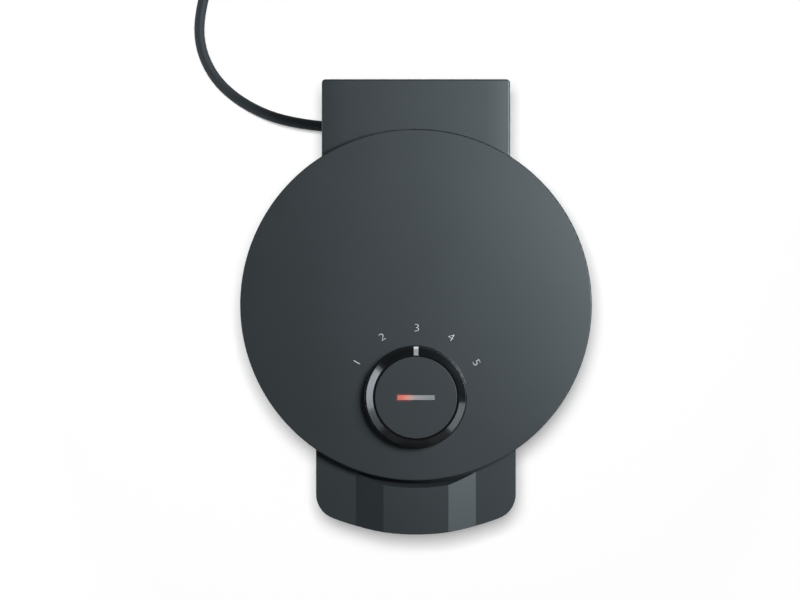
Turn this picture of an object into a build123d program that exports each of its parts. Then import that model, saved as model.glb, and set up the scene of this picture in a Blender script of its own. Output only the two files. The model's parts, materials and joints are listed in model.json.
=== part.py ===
from build123d import *
import os
from math import acos, asin, atan2, cos, degrees, hypot, pi, radians, sin, sqrt, tan

os.makedirs("parts", exist_ok=True)

# A heart waffle maker: two round shells hinged at the rear, each holding a cast plate with five heart
# cavities and a heating element behind it. Sizes are in millimetres. X points right, Y to the rear
# and Z up. The origin lies on the surface under the middle of the footprint.

# Plan sizes, seen from above
disc_radius = 110.0
disc_overhang = 4.0
grip_reach = 33.7
block_reach = 31.65
drum_foot_inset = 10.0
block_width = 118.3
grip_width = 125.3
grip_corner = 16.0
base_grip_width = 112.0
base_grip_setback = 5.0

# Heights
foot_height = 6.0
parting_height = 50.0
rim_gap = 3.0
lid_depth = 35.0
plinth_rise = 1.5
plinth_margin = 10.0
disc_thickness = 4.0
grip_depth = 18.5
grip_rise = 5.0
base_grip_drop = 4.5
base_grip_depth = 20.0

# Walls and edges
wall = 2.5
floor_thickness = 3.0
lip_width = 6.5
block_corner = 2.4
block_edge = 1.2
block_crown_width = 14.0
block_crown_drop = 0.3
base_edge = 4.0
grip_edge = 2.5
grip_lower_edge = 5.0
disc_edge = 0.8

# Raised middle of the front grip, and the sloping seat wall round the disc
panel_half_width = 20.3
panel_foot_half_width = 37.6
seat_gap = 1.4
seat_slope = 3.1

# Hinge
hinge_setback = 10.0
rear_room_overlap = 20.0
barrel_radius = 10.0
hinge_gap = 0.5
lid_opening_angle = 100.0
ear_width = 10.0
ear_side_gap = 0.4
ear_relief_gap = 2.0
ear_neck_reach = 4.0
ear_neck_drop = 14.0
pin_radius = 3.0
pin_length = 24.0
pin_fixed_clearance = 0.02
pin_running_clearance = 0.06
lead_window_half_width = 9.0
lead_window_top = 8.0
lead_slot_margin = 2.0

# Baking plates
plate_side_gap = 1.5
plate_face_gap = 0.15
plate_rim_thickness = 5.0
plate_rim_width = 6.0
plate_pan_slope = 4.0
heart_count = 5
heart_margin = 8.0
heart_side_offset = 1.6
heart_lobe_spread = 0.82
heart_tip_radius = 4.0
heart_depth = 7.5
heart_draft = 15.0
heart_floor = 3.5
ridge_drop = 2.0
ridge_inset = 16.0
rib_pitch = 14.0
rib_foot_width = 4.4
rib_top_width = 2.6
rib_height = 4.2
overflow_inset = 4.0
overflow_width = 1.6
overflow_depth = 1.0

# Heating element and the clips that hold it in its groove
element_radius = 3.3
element_loop_radius = 60.0
element_leg_offset = 14.0
element_bend = 12.0
element_leg_inset = 8.0
groove_clearance = 0.1
groove_boss_width = 14.0
groove_boss_height = 5.0
terminal_radius = 1.75
terminal_length = 6.0
clip_thickness = 1.0
clip_clearance = 0.25
clip_width = 8.0
clip_count = 3

# Plate posts and screws, by their distance from the parting plane
post_inset = 12.0
post_radius = 6.0
post_shoulder_radius = 8.0
post_joint_depth = 16.0
screw_radius = 2.0
screw_clearance = 0.2
screw_bite_clearance = 0.05
screw_head_radius = 4.0
screw_head_height = 3.2
screw_head_clearance = 0.4
screw_head_depth = 30.0
screw_bite = 8.0

# Reflector
sheet = 0.6
reflector_depth = 26.0
reflector_inset = 5.0
reflector_flare = 5.0
reflector_rim_height = 9.0
reflector_clearance = 0.4
reflector_notch_half_width = 20.0
reflector_notch_start = 70.0

# Feet and vents under the base
foot_radius = 8.0
foot_taper = 1.0
foot_socket_depth = 2.0
foot_socket_clearance = 0.1
front_foot_inset = 17.5
front_foot_angle = 30.0
rear_foot_x = 44.0
rear_foot_setback = 18.0
vent_length = 26.0
vent_width = 2.5
vent_pitch = 7.0
vent_count = 7
vent_row_pitch = 36.4

# Pegs under the disc
peg_inset = 18.0
peg_count = 4
peg_start_angle = 45.0
peg_radius = 2.5
peg_clearance = 0.1
peg_length = 6.0

# Dial
dial_inset = 52.5
dial_lip_radius = 32.2
dial_lip_height = 1.2
dial_gap = 0.4
dial_foot_radius = 31.2
dial_band_height = 4.6
dial_land = 0.8
dial_height = 10.6
cap_radius = 25.5
cap_side_gap = 0.6
cap_thickness = 2.0
cap_skirt_width = 1.6
cap_rise = 0.4
cap_edge = 0.4
pointer_width = 2.9
pointer_rise = 0.25
pointer_depth = 0.7
window_length = 23.0
window_width = 2.9
lamp_radius = 2.5
lamp_height = 1.6
lamp_spacing = 12.0
lamp_board_length = 26.0
lamp_board_width = 8.0
lamp_board_thickness = 1.2
lamp_board_gap = 0.6
lamp_post_radius = 2.0
lamp_post_offset = -2.4

# Dial gearing
gear_module = 1.0
ring_teeth = 48
pinion_teeth = 20
pressure_angle = 20.0
gear_backlash = 0.25
gear_height = 4.6
gear_root = 1.25
ring_tip = 0.8
spindle_radius = 3.0
spindle_flat = 2.0
spindle_hole_gap = 1.0
bearing_clearance = 0.08
press_clearance = 0.03
carrier_radius = 22.6
carrier_thickness = 1.2
carrier_post_radius = 2.5
carrier_post_circle = 17.0
carrier_post_angles = (200.0, 270.0, 340.0)
spigot_radius = 9.4
spigot_clearance = 0.2

# Thermostat
thermostat_length = 28.0
thermostat_width = 22.0
thermostat_height = 10.0
thermostat_corner = 2.8
thermostat_window_gap = 2.0
thermostat_bore_depth = 6.0
bracket_length = 48.0
bracket_corner = 3.6
bracket_thickness = 1.2
bracket_screw_offset = 19.0
bracket_screw_radius = 1.5
bracket_screw_length = 6.0
bracket_screw_head_radius = 2.8
bracket_screw_head_height = 1.6
sensor_radius = 2.5

# Mains lead
cord_radius = 3.4
cord_exit_y = 118.0
cord_exit_z = 20.0
relief_length = 26.5
relief_root_radius = 7.0
relief_tip_radius = 5.0
relief_neck_radius = 4.8
relief_flange_radius = 7.0
relief_flange_length = 3.0
relief_clearance = 0.2
pocket_width = 20.0
pocket_height = 18.0
clamp_x = -18.0
clamp_length = 8.0
clamp_span = 22.0
clamp_corner = 2.0
clamp_gap = 1.0
clamp_height = 5.5
clamp_screw_offset = 8.0
clamp_screw_radius = 1.5
clamp_screw_length = 12.0
clamp_screw_head_radius = 2.8
clamp_screw_head_height = 2.0
stub_end_x = -10.0
terminal_block_length = 40.0
terminal_block_width = 12.0
terminal_block_corner = 1.5
terminal_block_gap = 3.0
lead_drop = 9.0
terminal_well_radius = 2.2
terminal_well_depth = 5.0
terminal_well_pitch = 9.0
lead_radius = 1.3
lead_bend = 4.0
lead_height = 2.2
bundle_radius = 2.2
bundle_bend = 6.0
sleeve_radius = 4.0
sleeve_reach_down = 18.0
sleeve_reach_up = 20.0

# Cord on the surface: the unseen length is put away in a coil that ends in an earthed plug
cord_route = [
    (-59.15, 118.0, 20.0),
    (-84.0, 120.5, 17.5),
    (-113.0, 133.0, 6.0),
    (-134.0, 151.0, 3.6),
    (-144.5, 176.0, 3.4),
    (-141.5, 204.0, 3.4),
    (-131.2, 230.0, 3.4),
    (-128.0, 256.0, 3.4),
]
cord_arc_share = 0.45
coil_turn_radius = 36.0
coil_slack = 0.4
coil_exit_angle = 45.0
coil_tie_angle = 250.0
coil_tie_span = 12.0
coil_tie_thickness = 1.0
plug_tail_run = 28.0
plug_tail_height = 6.0
plug_relief_length = 18.0
plug_relief_radius = 4.6
plug_neck_radius = 6.5
plug_waist_radius = 10.0
plug_waist_length = 24.0
plug_shoulder_radius = 16.0
plug_shoulder_length = 38.0
plug_face_radius = 18.5
plug_length = 46.0
plug_pin_radius = 2.4
plug_pin_length = 19.0
plug_pin_spacing = 19.0
plug_pin_root = 6.0
plug_slot_width = 6.0
plug_slot_depth = 2.5

# Levels and places that follow from the sizes above
front_bearing = -90.0
front_reach = disc_radius + grip_reach
rear_reach = disc_radius + block_reach
drum_radius = disc_radius - disc_overhang
drum_foot_radius = drum_radius - drum_foot_inset
round_y = (front_reach - rear_reach) / 2
rear_y = round_y + rear_reach
base_bottom = foot_height
base_floor = base_bottom + floor_thickness
base_rim = parting_height - rim_gap / 2
base_grip_top = base_rim - base_grip_drop
base_grip_bottom = base_grip_top - base_grip_depth
lid_rim = parting_height + rim_gap / 2
lid_top = lid_rim + lid_depth
lid_ceiling = lid_top - wall
plinth_top = lid_top + plinth_rise
disc_top = plinth_top + disc_thickness
panel_top = lid_top + grip_rise
grip_bottom = lid_top - grip_depth
lip_radius = drum_radius - lip_width
plate_radius = lip_radius - plate_side_gap
plate_pan_radius = plate_radius - plate_rim_width
heart_reach = plate_radius - heart_margin
ridge_radius = heart_reach - ridge_inset
overflow_radius = plate_radius - overflow_inset
element_leg_end = plate_pan_radius - element_leg_inset
post_circle_radius = plate_pan_radius - post_inset
terminal_block_front = round_y + post_circle_radius + post_shoulder_radius + terminal_block_gap
terminal_block_y = terminal_block_front + terminal_block_width / 2
reflector_rim_radius = plate_radius - reflector_inset
reflector_flat_radius = reflector_rim_radius - reflector_flare
peg_circle_radius = disc_radius - peg_inset
seat_foot_radius = disc_radius + seat_gap
seat_top_radius = seat_foot_radius + seat_slope
hinge_y = rear_y - hinge_setback
recess_radius = barrel_radius + hinge_gap
ear_relief_radius = barrel_radius + ear_relief_gap
ear_inner = block_width / 2 - ear_width
barrel_half_width = ear_inner - ear_side_gap
stop_tilt = lid_opening_angle - 90
plate_face = parting_height - plate_face_gap
plate_rim_back = plate_face - plate_rim_thickness
plate_back = plate_face - heart_depth - heart_floor
element_level = plate_back - groove_boss_height
terminal_block_top = element_level - lead_drop
sleeve_bottom = parting_height - sleeve_reach_down
sleeve_top = parting_height + sleeve_reach_up
post_top = parting_height - post_joint_depth
reflector_level = parting_height - reflector_depth
screw_seat = parting_height - screw_head_depth
sector = 180.0 / heart_count
post_start = sector + front_bearing
dial_y = round_y + dial_inset - disc_radius
dial_inner_radius = cap_radius + cap_side_gap
dial_top_radius = dial_inner_radius + dial_land
ring_base = disc_top + dial_gap
ring_top = disc_top + dial_height
band_foot = ring_top - dial_band_height
cap_top = ring_top + cap_rise
cap_underside = cap_top - cap_thickness
gear_top = ring_base + gear_height
lamp_board_bottom = gear_top + dial_gap + lamp_board_gap
ring_pitch_radius = gear_module * ring_teeth / 2
pinion_pitch_radius = gear_module * pinion_teeth / 2
spindle_y = dial_y + ring_pitch_radius - pinion_pitch_radius

side = Plane(origin=(0, round_y, 0), x_dir=(1, 0, 0), z_dir=(0, -1, 0))
round_axis = Axis((0, round_y, 0), (0, 0, 1))
dial_side = Plane(origin=(0, dial_y, 0), x_dir=(1, 0, 0), z_dir=(0, -1, 0))
dial_axis = Axis((0, dial_y, 0), (0, 0, 1))
parting = Plane.XY.offset(parting_height)
hinge_plane = Plane(origin=(0, hinge_y, parting_height), x_dir=(0, 1, 0), z_dir=(1, 0, 0))
corner_to_corner = (Align.MIN, Align.MIN)


def level(height):
    """The horizontal plane at a height, with its origin on the round axis."""
    return Plane(origin=(0, round_y, height))


def dial_level(height):
    """The horizontal plane at a height, with its origin on the dial's axis."""
    return Plane(origin=(0, dial_y, height))


def hinge_section(x):
    """The plane across the hinge at x, with its origin on the hinge axis."""
    return hinge_plane.offset(x)


def save(piece, name):
    """Labels a finished piece and writes it."""
    piece.part.label = name
    export_step(piece.part, f"parts/{name}.step")


def turned(points, plane=side, axis=round_axis):
    """A body turned about an axis from a closed outline of radius and height points."""
    with BuildPart() as body:
        with BuildSketch(plane):
            with BuildLine():
                Polyline(*points, close=True)
            make_face()
        revolve(axis=axis)
    return body.part


def plain_block(bottom, top, inset):
    """The box behind the drum, set in from its outside."""
    with BuildPart() as block:
        with BuildSketch(side):
            with Locations((0, bottom)):
                Rectangle(block_width - 2 * inset, top - bottom, align=(Align.CENTER, Align.MIN))
        extrude(amount=inset - rear_reach)
        if inset == 0:
            fillet(block.edges().filter_by(Axis.Z).group_by(Axis.Y)[-1], block_corner)
    return block.part


def crowned_block(bottom, top):
    """The box behind the drum with a top that falls off softly to both sides, and rounded edges."""
    half = block_width / 2
    shoulder = half - block_crown_width
    crown_radius = (block_crown_width**2 + block_crown_drop**2) / (2 * block_crown_drop)
    half_bend = asin(block_crown_width / crown_radius) / 2
    middle_x = shoulder + crown_radius * sin(half_bend)
    middle_z = top - crown_radius * (1 - cos(half_bend))
    side_top = top - block_crown_drop
    with BuildPart() as block:
        with BuildSketch(side):
            with BuildLine():
                Polyline((-half, side_top), (-half, bottom), (half, bottom), (half, side_top))
                ThreePointArc((half, side_top), (middle_x, middle_z), (shoulder, top))
                Line((shoulder, top), (-shoulder, top))
                ThreePointArc((-shoulder, top), (-middle_x, middle_z), (-half, side_top))
            make_face()
        extrude(amount=-rear_reach)
        fillet(block.edges().filter_by(Axis.Z).group_by(Axis.Y)[-1], block_corner)
        fillet(block.edges().filter_by(Axis.Y).group_by(Axis.Z)[1], block_edge)
    return block.part


def grip_plan(height, reach, width, corner):
    """The grip's outline seen from above, as a sketch that runs back to the round axis."""
    with BuildSketch(level(height)) as plan:
        Circle(reach)
        Rectangle(width, reach, align=(Align.CENTER, Align.MAX), mode=Mode.INTERSECT)
        fillet(plan.vertices().group_by(Axis.Y)[0], corner)
    return plan.sketch


def faceted_grip(bottom, inset):
    """The lid's grip as a solid: flat outer panels, two slopes and a raised middle panel."""
    reach = front_reach - inset
    half = grip_width / 2 - inset
    with BuildPart() as grip:
        extrude(grip_plan(bottom, reach, 2 * half, grip_corner - inset), amount=panel_top - bottom)
        with BuildSketch(side):
            with BuildLine():
                Polyline(
                    (-half, bottom),
                    (half, bottom),
                    (half, lid_top - inset),
                    (panel_foot_half_width, lid_top - inset),
                    (panel_half_width, panel_top - inset),
                    (-panel_half_width, panel_top - inset),
                    (-panel_foot_half_width, lid_top - inset),
                    (-half, lid_top - inset),
                    close=True,
                )
            make_face()
        extrude(amount=reach, mode=Mode.INTERSECT)
    return grip.part


def tube(points, radius, bend):
    """A round tube along straight runs joined by arcs of one radius, or of a list of radii."""
    start = Vector(*points[0])
    heading = Vector(*points[1]) - start
    with BuildPart() as body:
        with BuildLine() as path:
            if len(points) == 2:
                Line(*points)
            else:
                FilletPolyline(*points, radius=bend)
        with BuildSketch(Plane(origin=start, z_dir=heading)):
            Circle(radius)
        sweep(path=path.line)
    return body.part


def rod(start, end, radius):
    """A straight round bar between two points."""
    return tube([start, end], radius, 0)


def gear_outline(teeth, tip, root, widening):
    """The closed outline of an involute gear, its first tooth on +X, as a list of points."""
    pitch = gear_module * teeth / 2
    base = pitch * cos(radians(pressure_angle))
    angle = radians(pressure_angle)
    half_tooth = pi / (2 * teeth) + widening / (2 * pitch)
    radii = sorted({root, max(root, base), pitch, (pitch + tip) / 2, tip}, reverse=root > tip)
    flank = []
    for radius in radii:
        reach = acos(min(base / radius, 1.0))
        roll = half_tooth + tan(angle) - angle - (tan(reach) - reach)
        flank.append((radius, roll))
    points = []
    for tooth in range(teeth):
        middle = 2 * pi * tooth / teeth
        for radius, roll in flank:
            points.append((radius * cos(middle - roll), radius * sin(middle - roll)))
        for radius, roll in reversed(flank):
            points.append((radius * cos(middle + roll), radius * sin(middle + roll)))
    return points


# Base shell: a tapering drum with a rear block and a front grip, open at the top
drum_taper = (drum_radius - drum_foot_radius) / (base_rim - base_bottom)
base_drum = turned([
    (0, base_bottom),
    (drum_foot_radius, base_bottom),
    (drum_radius, base_rim),
    (0, base_rim),
])
base_hollow = turned([
    (0, base_floor),
    (drum_foot_radius + drum_taper * floor_thickness - wall, base_floor),
    (drum_radius - drum_taper * wall - wall, base_rim - wall),
    (lip_radius, base_rim - wall),
    (lip_radius, base_rim + wall),
    (0, base_rim + wall),
])
base_block = plain_block(base_bottom, base_rim, 0)
base_grip_sketch = grip_plan(
    base_grip_bottom, front_reach - base_grip_setback, base_grip_width, grip_corner
)
pocket_x = (relief_length - block_width) / 2
roof_low = parting_height - recess_radius - wall - hinge_setback * sin(radians(stop_tilt))
roof_step = hinge_y - recess_radius - wall
room_front = round_y + drum_radius * cos(asin(block_width / 2 / drum_radius)) - rear_room_overlap
stop_frame = Rot(0, 0, -stop_tilt) * Pos(0, -recess_radius)
clamp_pad_top = cord_exit_z - clamp_gap / 2
clamp_places = [
    (clamp_x, cord_exit_y - clamp_screw_offset),
    (clamp_x, cord_exit_y + clamp_screw_offset),
]
front_foot_circle = drum_foot_radius - front_foot_inset
front_foot_x = front_foot_circle * cos(radians(front_foot_angle))
front_foot_y = round_y - front_foot_circle * sin(radians(front_foot_angle))
foot_places = [
    (-front_foot_x, front_foot_y),
    (front_foot_x, front_foot_y),
    (-rear_foot_x, rear_y - rear_foot_setback),
    (rear_foot_x, rear_y - rear_foot_setback),
]

with BuildPart() as base_grip:
    extrude(base_grip_sketch, amount=base_grip_top - base_grip_bottom)
    fillet(base_grip.faces().sort_by(Axis.Z)[0].edges().group_by(Axis.Y)[0], grip_lower_edge)
    fillet(base_grip.faces().sort_by(Axis.Z)[-1].edges().group_by(Axis.Y)[0], grip_edge)

with BuildPart() as base_shell:
    add(base_drum)
    fillet(base_shell.edges().group_by(Axis.Z)[0], base_edge)
    add(base_block)
    add(base_grip.part)
    # The recess round the lid's barrel, and the sloping ledge that stops the lid
    with BuildSketch(hinge_section(-ear_inner)):
        Circle(recess_radius)
        with Locations(stop_frame):
            Rectangle(block_width, block_width, align=corner_to_corner)
    extrude(amount=2 * ear_inner, mode=Mode.SUBTRACT)
    with BuildSketch(hinge_section(-block_width)):
        with Locations(stop_frame):
            Rectangle(block_width, block_width, align=corner_to_corner)
    extrude(amount=2 * block_width, mode=Mode.SUBTRACT)
    # The two hinge ears
    for ear_x in (-block_width / 2, ear_inner):
        with BuildSketch(hinge_section(ear_x)):
            Circle(barrel_radius)
            with Locations((ear_neck_reach, 0)):
                Rectangle(barrel_radius + ear_neck_reach, ear_neck_drop, align=(Align.MAX, Align.MAX))
        extrude(amount=ear_width)
    # The inside of the drum and of the rear block
    add(base_hollow, mode=Mode.SUBTRACT)
    with BuildSketch(Plane.YZ.offset(wall - block_width / 2)):
        with BuildLine():
            Polyline(
                (room_front, base_floor),
                (rear_y - wall, base_floor),
                (rear_y - wall, roof_low),
                (roof_step, roof_low),
                (roof_step, base_rim - wall),
                (room_front, base_rim - wall),
                close=True,
            )
        make_face()
    extrude(amount=block_width - 2 * wall, mode=Mode.SUBTRACT)
    # The pocket that hides the cord's strain relief
    with BuildSketch(Plane.XY.offset(base_floor)):
        with Locations((pocket_x + wall / 2, cord_exit_y)):
            Rectangle(relief_length + wall, pocket_width + 2 * wall)
    extrude(amount=roof_low - base_floor)
    with Locations((pocket_x - wall, cord_exit_y, cord_exit_z)):
        Box(relief_length + 2 * wall, pocket_width, pocket_height, mode=Mode.SUBTRACT)
    with Locations(Location((pocket_x, cord_exit_y, cord_exit_z), (0, 90, 0))):
        Cylinder(relief_neck_radius + relief_clearance, relief_length + 3 * wall, mode=Mode.SUBTRACT)
    # The pad that the cord is clamped on
    with BuildSketch(Plane.XY.offset(base_floor)):
        with Locations((clamp_x, cord_exit_y)):
            Rectangle(clamp_length, clamp_span)
    extrude(amount=clamp_pad_top - base_floor)
    with Locations(Location((clamp_x, cord_exit_y, cord_exit_z), (0, 90, 0))):
        Cylinder(cord_radius, 2 * clamp_length, mode=Mode.SUBTRACT)
    with BuildSketch(Plane.XY.offset(clamp_pad_top)):
        with Locations(*clamp_places):
            Circle(clamp_screw_radius + screw_bite_clearance)
    extrude(amount=-clamp_screw_length, mode=Mode.SUBTRACT)
    # Posts under the baking plate, with a shoulder for the reflector and room for the screws
    with BuildSketch(level(base_bottom)):
        with PolarLocations(post_circle_radius, heart_count, start_angle=post_start):
            Circle(post_shoulder_radius)
    extrude(amount=reflector_level - base_bottom)
    with BuildSketch(level(base_bottom)):
        with PolarLocations(post_circle_radius, heart_count, start_angle=post_start):
            Circle(post_radius)
    extrude(amount=post_top - base_bottom)
    with BuildSketch(level(base_bottom)):
        with PolarLocations(post_circle_radius, heart_count, start_angle=post_start):
            Circle(screw_head_radius + screw_head_clearance)
    extrude(amount=screw_seat - base_bottom, mode=Mode.SUBTRACT)
    with BuildSketch(level(base_bottom)):
        with PolarLocations(post_circle_radius, heart_count, start_angle=post_start):
            Circle(screw_radius + screw_clearance)
    extrude(amount=post_top - base_bottom, mode=Mode.SUBTRACT)
    # Foot sockets and cooling slots in the floor
    with BuildSketch(Plane.XY.offset(base_bottom)):
        with Locations(*foot_places):
            Circle(foot_radius + foot_socket_clearance)
    extrude(amount=foot_socket_depth, mode=Mode.SUBTRACT)
    with BuildSketch(level(base_bottom)):
        with GridLocations(vent_pitch, vent_row_pitch, vent_count, 2):
            SlotOverall(vent_length, vent_width, rotation=90)
    extrude(amount=floor_thickness, mode=Mode.SUBTRACT)
    # The slot for the lead sleeve and the bores for the hinge pins
    with BuildSketch(Plane.XY.offset(roof_low - wall)):
        with Locations((0, hinge_y)):
            Rectangle(2 * (sleeve_radius + lead_slot_margin), 2 * (sleeve_radius + lead_slot_margin))
    extrude(amount=parting_height - roof_low, mode=Mode.SUBTRACT)
    with BuildSketch(hinge_section(-block_width)):
        Circle(pin_radius + pin_fixed_clearance)
    extrude(amount=2 * block_width, mode=Mode.SUBTRACT)
save(base_shell, "base_shell")

with BuildPart() as rubber_feet:
    with BuildSketch(Plane.XY):
        with Locations(*foot_places):
            Circle(foot_radius - foot_taper)
    foot_length = base_bottom + foot_socket_depth
    extrude(amount=foot_length, taper=-degrees(atan2(foot_taper, foot_length)))
save(rubber_feet, "rubber_feet")

# One heart cavity, along +X from the plate's centre, with the lattice of ribs left standing in it
half_sector = radians(sector)
lobe_radius = (heart_reach * sin(half_sector) - heart_side_offset) / (
    1 + heart_lobe_spread * cos(half_sector) + sin(half_sector)
)
lobe_x = heart_reach - lobe_radius
lobe_y = heart_lobe_spread * lobe_radius
tip_x = (heart_side_offset + heart_tip_radius) / sin(half_sector)
cleft_x = lobe_x + sqrt(lobe_radius**2 - lobe_y**2)
side_normal = (-sin(half_sector), cos(half_sector))
cavity_floor = plate_face - heart_depth
rib_rows = int((heart_reach * sin(2 * half_sector) - heart_side_offset) / rib_pitch)


def along(centre, direction, distance):
    """The point at a distance from a centre, in a direction."""
    return (centre[0] + distance * direction[0], centre[1] + distance * direction[1])


with BuildSketch(Plane.XY.offset(plate_face)) as heart_outline:
    with BuildLine():
        side_start = along((tip_x, 0), side_normal, heart_tip_radius)
        side_end = along((lobe_x, lobe_y), side_normal, lobe_radius)
        lobe_middle = along((lobe_x, lobe_y), (cos(half_sector), sin(half_sector)), lobe_radius)
        Line(side_start, side_end)
        ThreePointArc(side_end, lobe_middle, (cleft_x, 0))
        mirror(about=Plane.XZ)
        ThreePointArc(
            (side_start[0], -side_start[1]), (tip_x - heart_tip_radius, 0), side_start
        )
    make_face()

with BuildPart() as heart_cavity:
    extrude(heart_outline.sketch, amount=-heart_depth, taper=heart_draft)
    extrude(heart_outline.sketch, amount=2 * plate_face_gap)
    for turn in (1, -1):
        run = (cos(half_sector), turn * sin(half_sector), 0)
        across = (-turn * sin(half_sector), cos(half_sector), 0)
        for row in range(1, rib_rows + 1):
            shift = -turn * row * rib_pitch
            place = Plane(
                origin=(shift * across[0], shift * across[1], cavity_floor), x_dir=across, z_dir=run
            )
            with BuildSketch(place):
                with BuildLine():
                    Polyline(
                        (-rib_foot_width / 2, 0),
                        (rib_foot_width / 2, 0),
                        (rib_top_width / 2, rib_height),
                        (-rib_top_width / 2, rib_height),
                        close=True,
                    )
                make_face()
            extrude(amount=2 * heart_reach, both=True, mode=Mode.SUBTRACT)

# The element's path turns out of its loop into two legs that run to the rear
bend_x = element_leg_offset + element_bend
leg_angle = degrees(acos(bend_x / (element_loop_radius + element_bend)))
bend_y = (element_loop_radius + element_bend) * sin(radians(leg_angle))
leg_notch_half_width = element_loop_radius * cos(radians(leg_angle)) + 2 * groove_clearance

# Lower baking plate: a cast pan with five hearts, a groove ring and screw bosses on its back
plate_blank = turned([
    (0, plate_back),
    (plate_pan_radius - plate_pan_slope, plate_back),
    (plate_pan_radius, plate_rim_back),
    (plate_radius, plate_rim_back),
    (plate_radius, plate_face),
    (0, plate_face),
])
overflow_groove = turned([
    (overflow_radius - overflow_width / 2, plate_face + overflow_depth),
    (overflow_radius - overflow_width / 2, plate_face),
    (overflow_radius, plate_face - overflow_depth),
    (overflow_radius + overflow_width / 2, plate_face),
    (overflow_radius + overflow_width / 2, plate_face + overflow_depth),
])
groove_boss = turned([
    (element_loop_radius - groove_boss_width / 2, element_level),
    (element_loop_radius + groove_boss_width / 2, element_level),
    (element_loop_radius + groove_boss_width / 2, plate_back + heart_floor / 2),
    (element_loop_radius - groove_boss_width / 2, plate_back + heart_floor / 2),
])

with BuildPart() as element_groove:
    with BuildSketch(side):
        with Locations((element_loop_radius, element_level)):
            Circle(element_radius + groove_clearance)
    revolve(axis=round_axis)

with BuildPart() as lower_baking_plate:
    add(plate_blank)
    with BuildSketch(level(plate_face)):
        Circle(ridge_radius)
    extrude(amount=-ridge_drop, mode=Mode.SUBTRACT)
    with Locations((0, round_y)):
        with PolarLocations(0, heart_count, start_angle=front_bearing):
            add(heart_cavity.part, mode=Mode.SUBTRACT)
    add(overflow_groove, mode=Mode.SUBTRACT)
    add(groove_boss)
    with BuildSketch(level(post_top)):
        with PolarLocations(post_circle_radius, heart_count, start_angle=post_start):
            Circle(post_radius)
    extrude(amount=plate_back + heart_floor / 2 - post_top)
    with BuildSketch(level(post_top)):
        with PolarLocations(post_circle_radius, heart_count, start_angle=post_start):
            Circle(screw_radius + screw_bite_clearance)
    extrude(amount=screw_bite, mode=Mode.SUBTRACT)
    add(element_groove.part, mode=Mode.SUBTRACT)
    with BuildSketch(level(element_level)):
        with Locations((0, element_loop_radius)):
            Rectangle(2 * leg_notch_half_width, 2 * groove_boss_width)
    extrude(amount=groove_boss_height, mode=Mode.SUBTRACT)
save(lower_baking_plate, "lower_baking_plate")

# Heating element: a tubular loop that lies half in the plate's groove and turns out to the rear
with BuildPart() as lower_heating_element:
    with BuildLine(level(element_level)) as element_path:
        right_leg = Line((element_leg_offset, element_leg_end), (element_leg_offset, bend_y))
        right_bend = CenterArc((bend_x, bend_y), element_bend, 180, leg_angle)
        loop = CenterArc((0, 0), element_loop_radius, leg_angle, -180 - 2 * leg_angle)
        left_bend = CenterArc((-bend_x, bend_y), element_bend, -leg_angle, leg_angle)
        left_leg = Line((-element_leg_offset, bend_y), (-element_leg_offset, element_leg_end))
    leg_front = Plane(
        origin=(element_leg_offset, round_y + element_leg_end, element_level), z_dir=(0, -1, 0)
    )
    with BuildSketch(leg_front):
        Circle(element_radius)
    sweep(path=element_path.line)
save(lower_heating_element, "lower_heating_element")

with BuildPart() as lower_terminals:
    for terminal_x in (-element_leg_offset, element_leg_offset):
        leg_end = Plane(
            origin=(terminal_x, round_y + element_leg_end, element_level), z_dir=(0, 1, 0)
        )
        with BuildSketch(leg_end):
            Circle(terminal_radius)
        extrude(amount=terminal_length)
save(lower_terminals, "lower_terminals")

# Straps that hold the element in its groove
with BuildPart() as strap:
    with BuildSketch(Plane.XZ):
        with Locations((element_loop_radius, element_level)):
            Circle(element_radius + clip_clearance + clip_thickness)
            Rectangle(groove_boss_width, clip_thickness, align=(Align.CENTER, Align.MAX))
            Circle(element_radius + clip_clearance, mode=Mode.SUBTRACT)
            Rectangle(
                groove_boss_width, groove_boss_width, align=(Align.CENTER, Align.MIN), mode=Mode.SUBTRACT
            )
    extrude(amount=clip_width / 2, both=True)

with BuildPart() as lower_element_clips:
    with Locations((0, round_y)):
        with PolarLocations(0, clip_count, start_angle=front_bearing):
            add(strap.part)
save(lower_element_clips, "lower_element_clips")

# Reflector: a thin dish that rests on the shoulders of the plate posts
reflector_rise = reflector_level + reflector_rim_height
lower_dish = turned([
    (0, reflector_level),
    (reflector_flat_radius, reflector_level),
    (reflector_rim_radius, reflector_rise),
    (reflector_rim_radius - sheet, reflector_rise),
    (reflector_flat_radius - sheet, reflector_level + sheet),
    (0, reflector_level + sheet),
])

with BuildPart() as lower_reflector:
    add(lower_dish)
    with BuildSketch(level(reflector_level)):
        with PolarLocations(post_circle_radius, heart_count, start_angle=post_start):
            Circle(post_radius + reflector_clearance)
        with Locations((0, reflector_notch_start)):
            Rectangle(
                2 * reflector_notch_half_width, 2 * post_radius + reflector_rim_radius,
                align=(Align.CENTER, Align.MIN),
            )
    extrude(amount=2 * reflector_rim_height, mode=Mode.SUBTRACT)
save(lower_reflector, "lower_reflector")

# Screws that draw the plate onto its posts
with BuildPart() as lower_plate_screws:
    with BuildSketch(level(screw_seat - screw_head_height)):
        with PolarLocations(post_circle_radius, heart_count, start_angle=post_start):
            Circle(screw_head_radius)
    extrude(amount=screw_head_height)
    with BuildSketch(level(screw_seat)):
        with PolarLocations(post_circle_radius, heart_count, start_angle=post_start):
            Circle(screw_radius)
    extrude(amount=post_top + screw_bite - screw_seat)
save(lower_plate_screws, "lower_plate_screws")

# Hinge pins, pressed into the ears
for pin_name, pin_side in (("hinge_pin_left", -1), ("hinge_pin_right", 1)):
    with BuildPart() as hinge_pin:
        with BuildSketch(hinge_section(pin_side * block_width / 2)):
            Circle(pin_radius)
        extrude(amount=-pin_side * pin_length)
    save(hinge_pin, pin_name)

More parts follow.
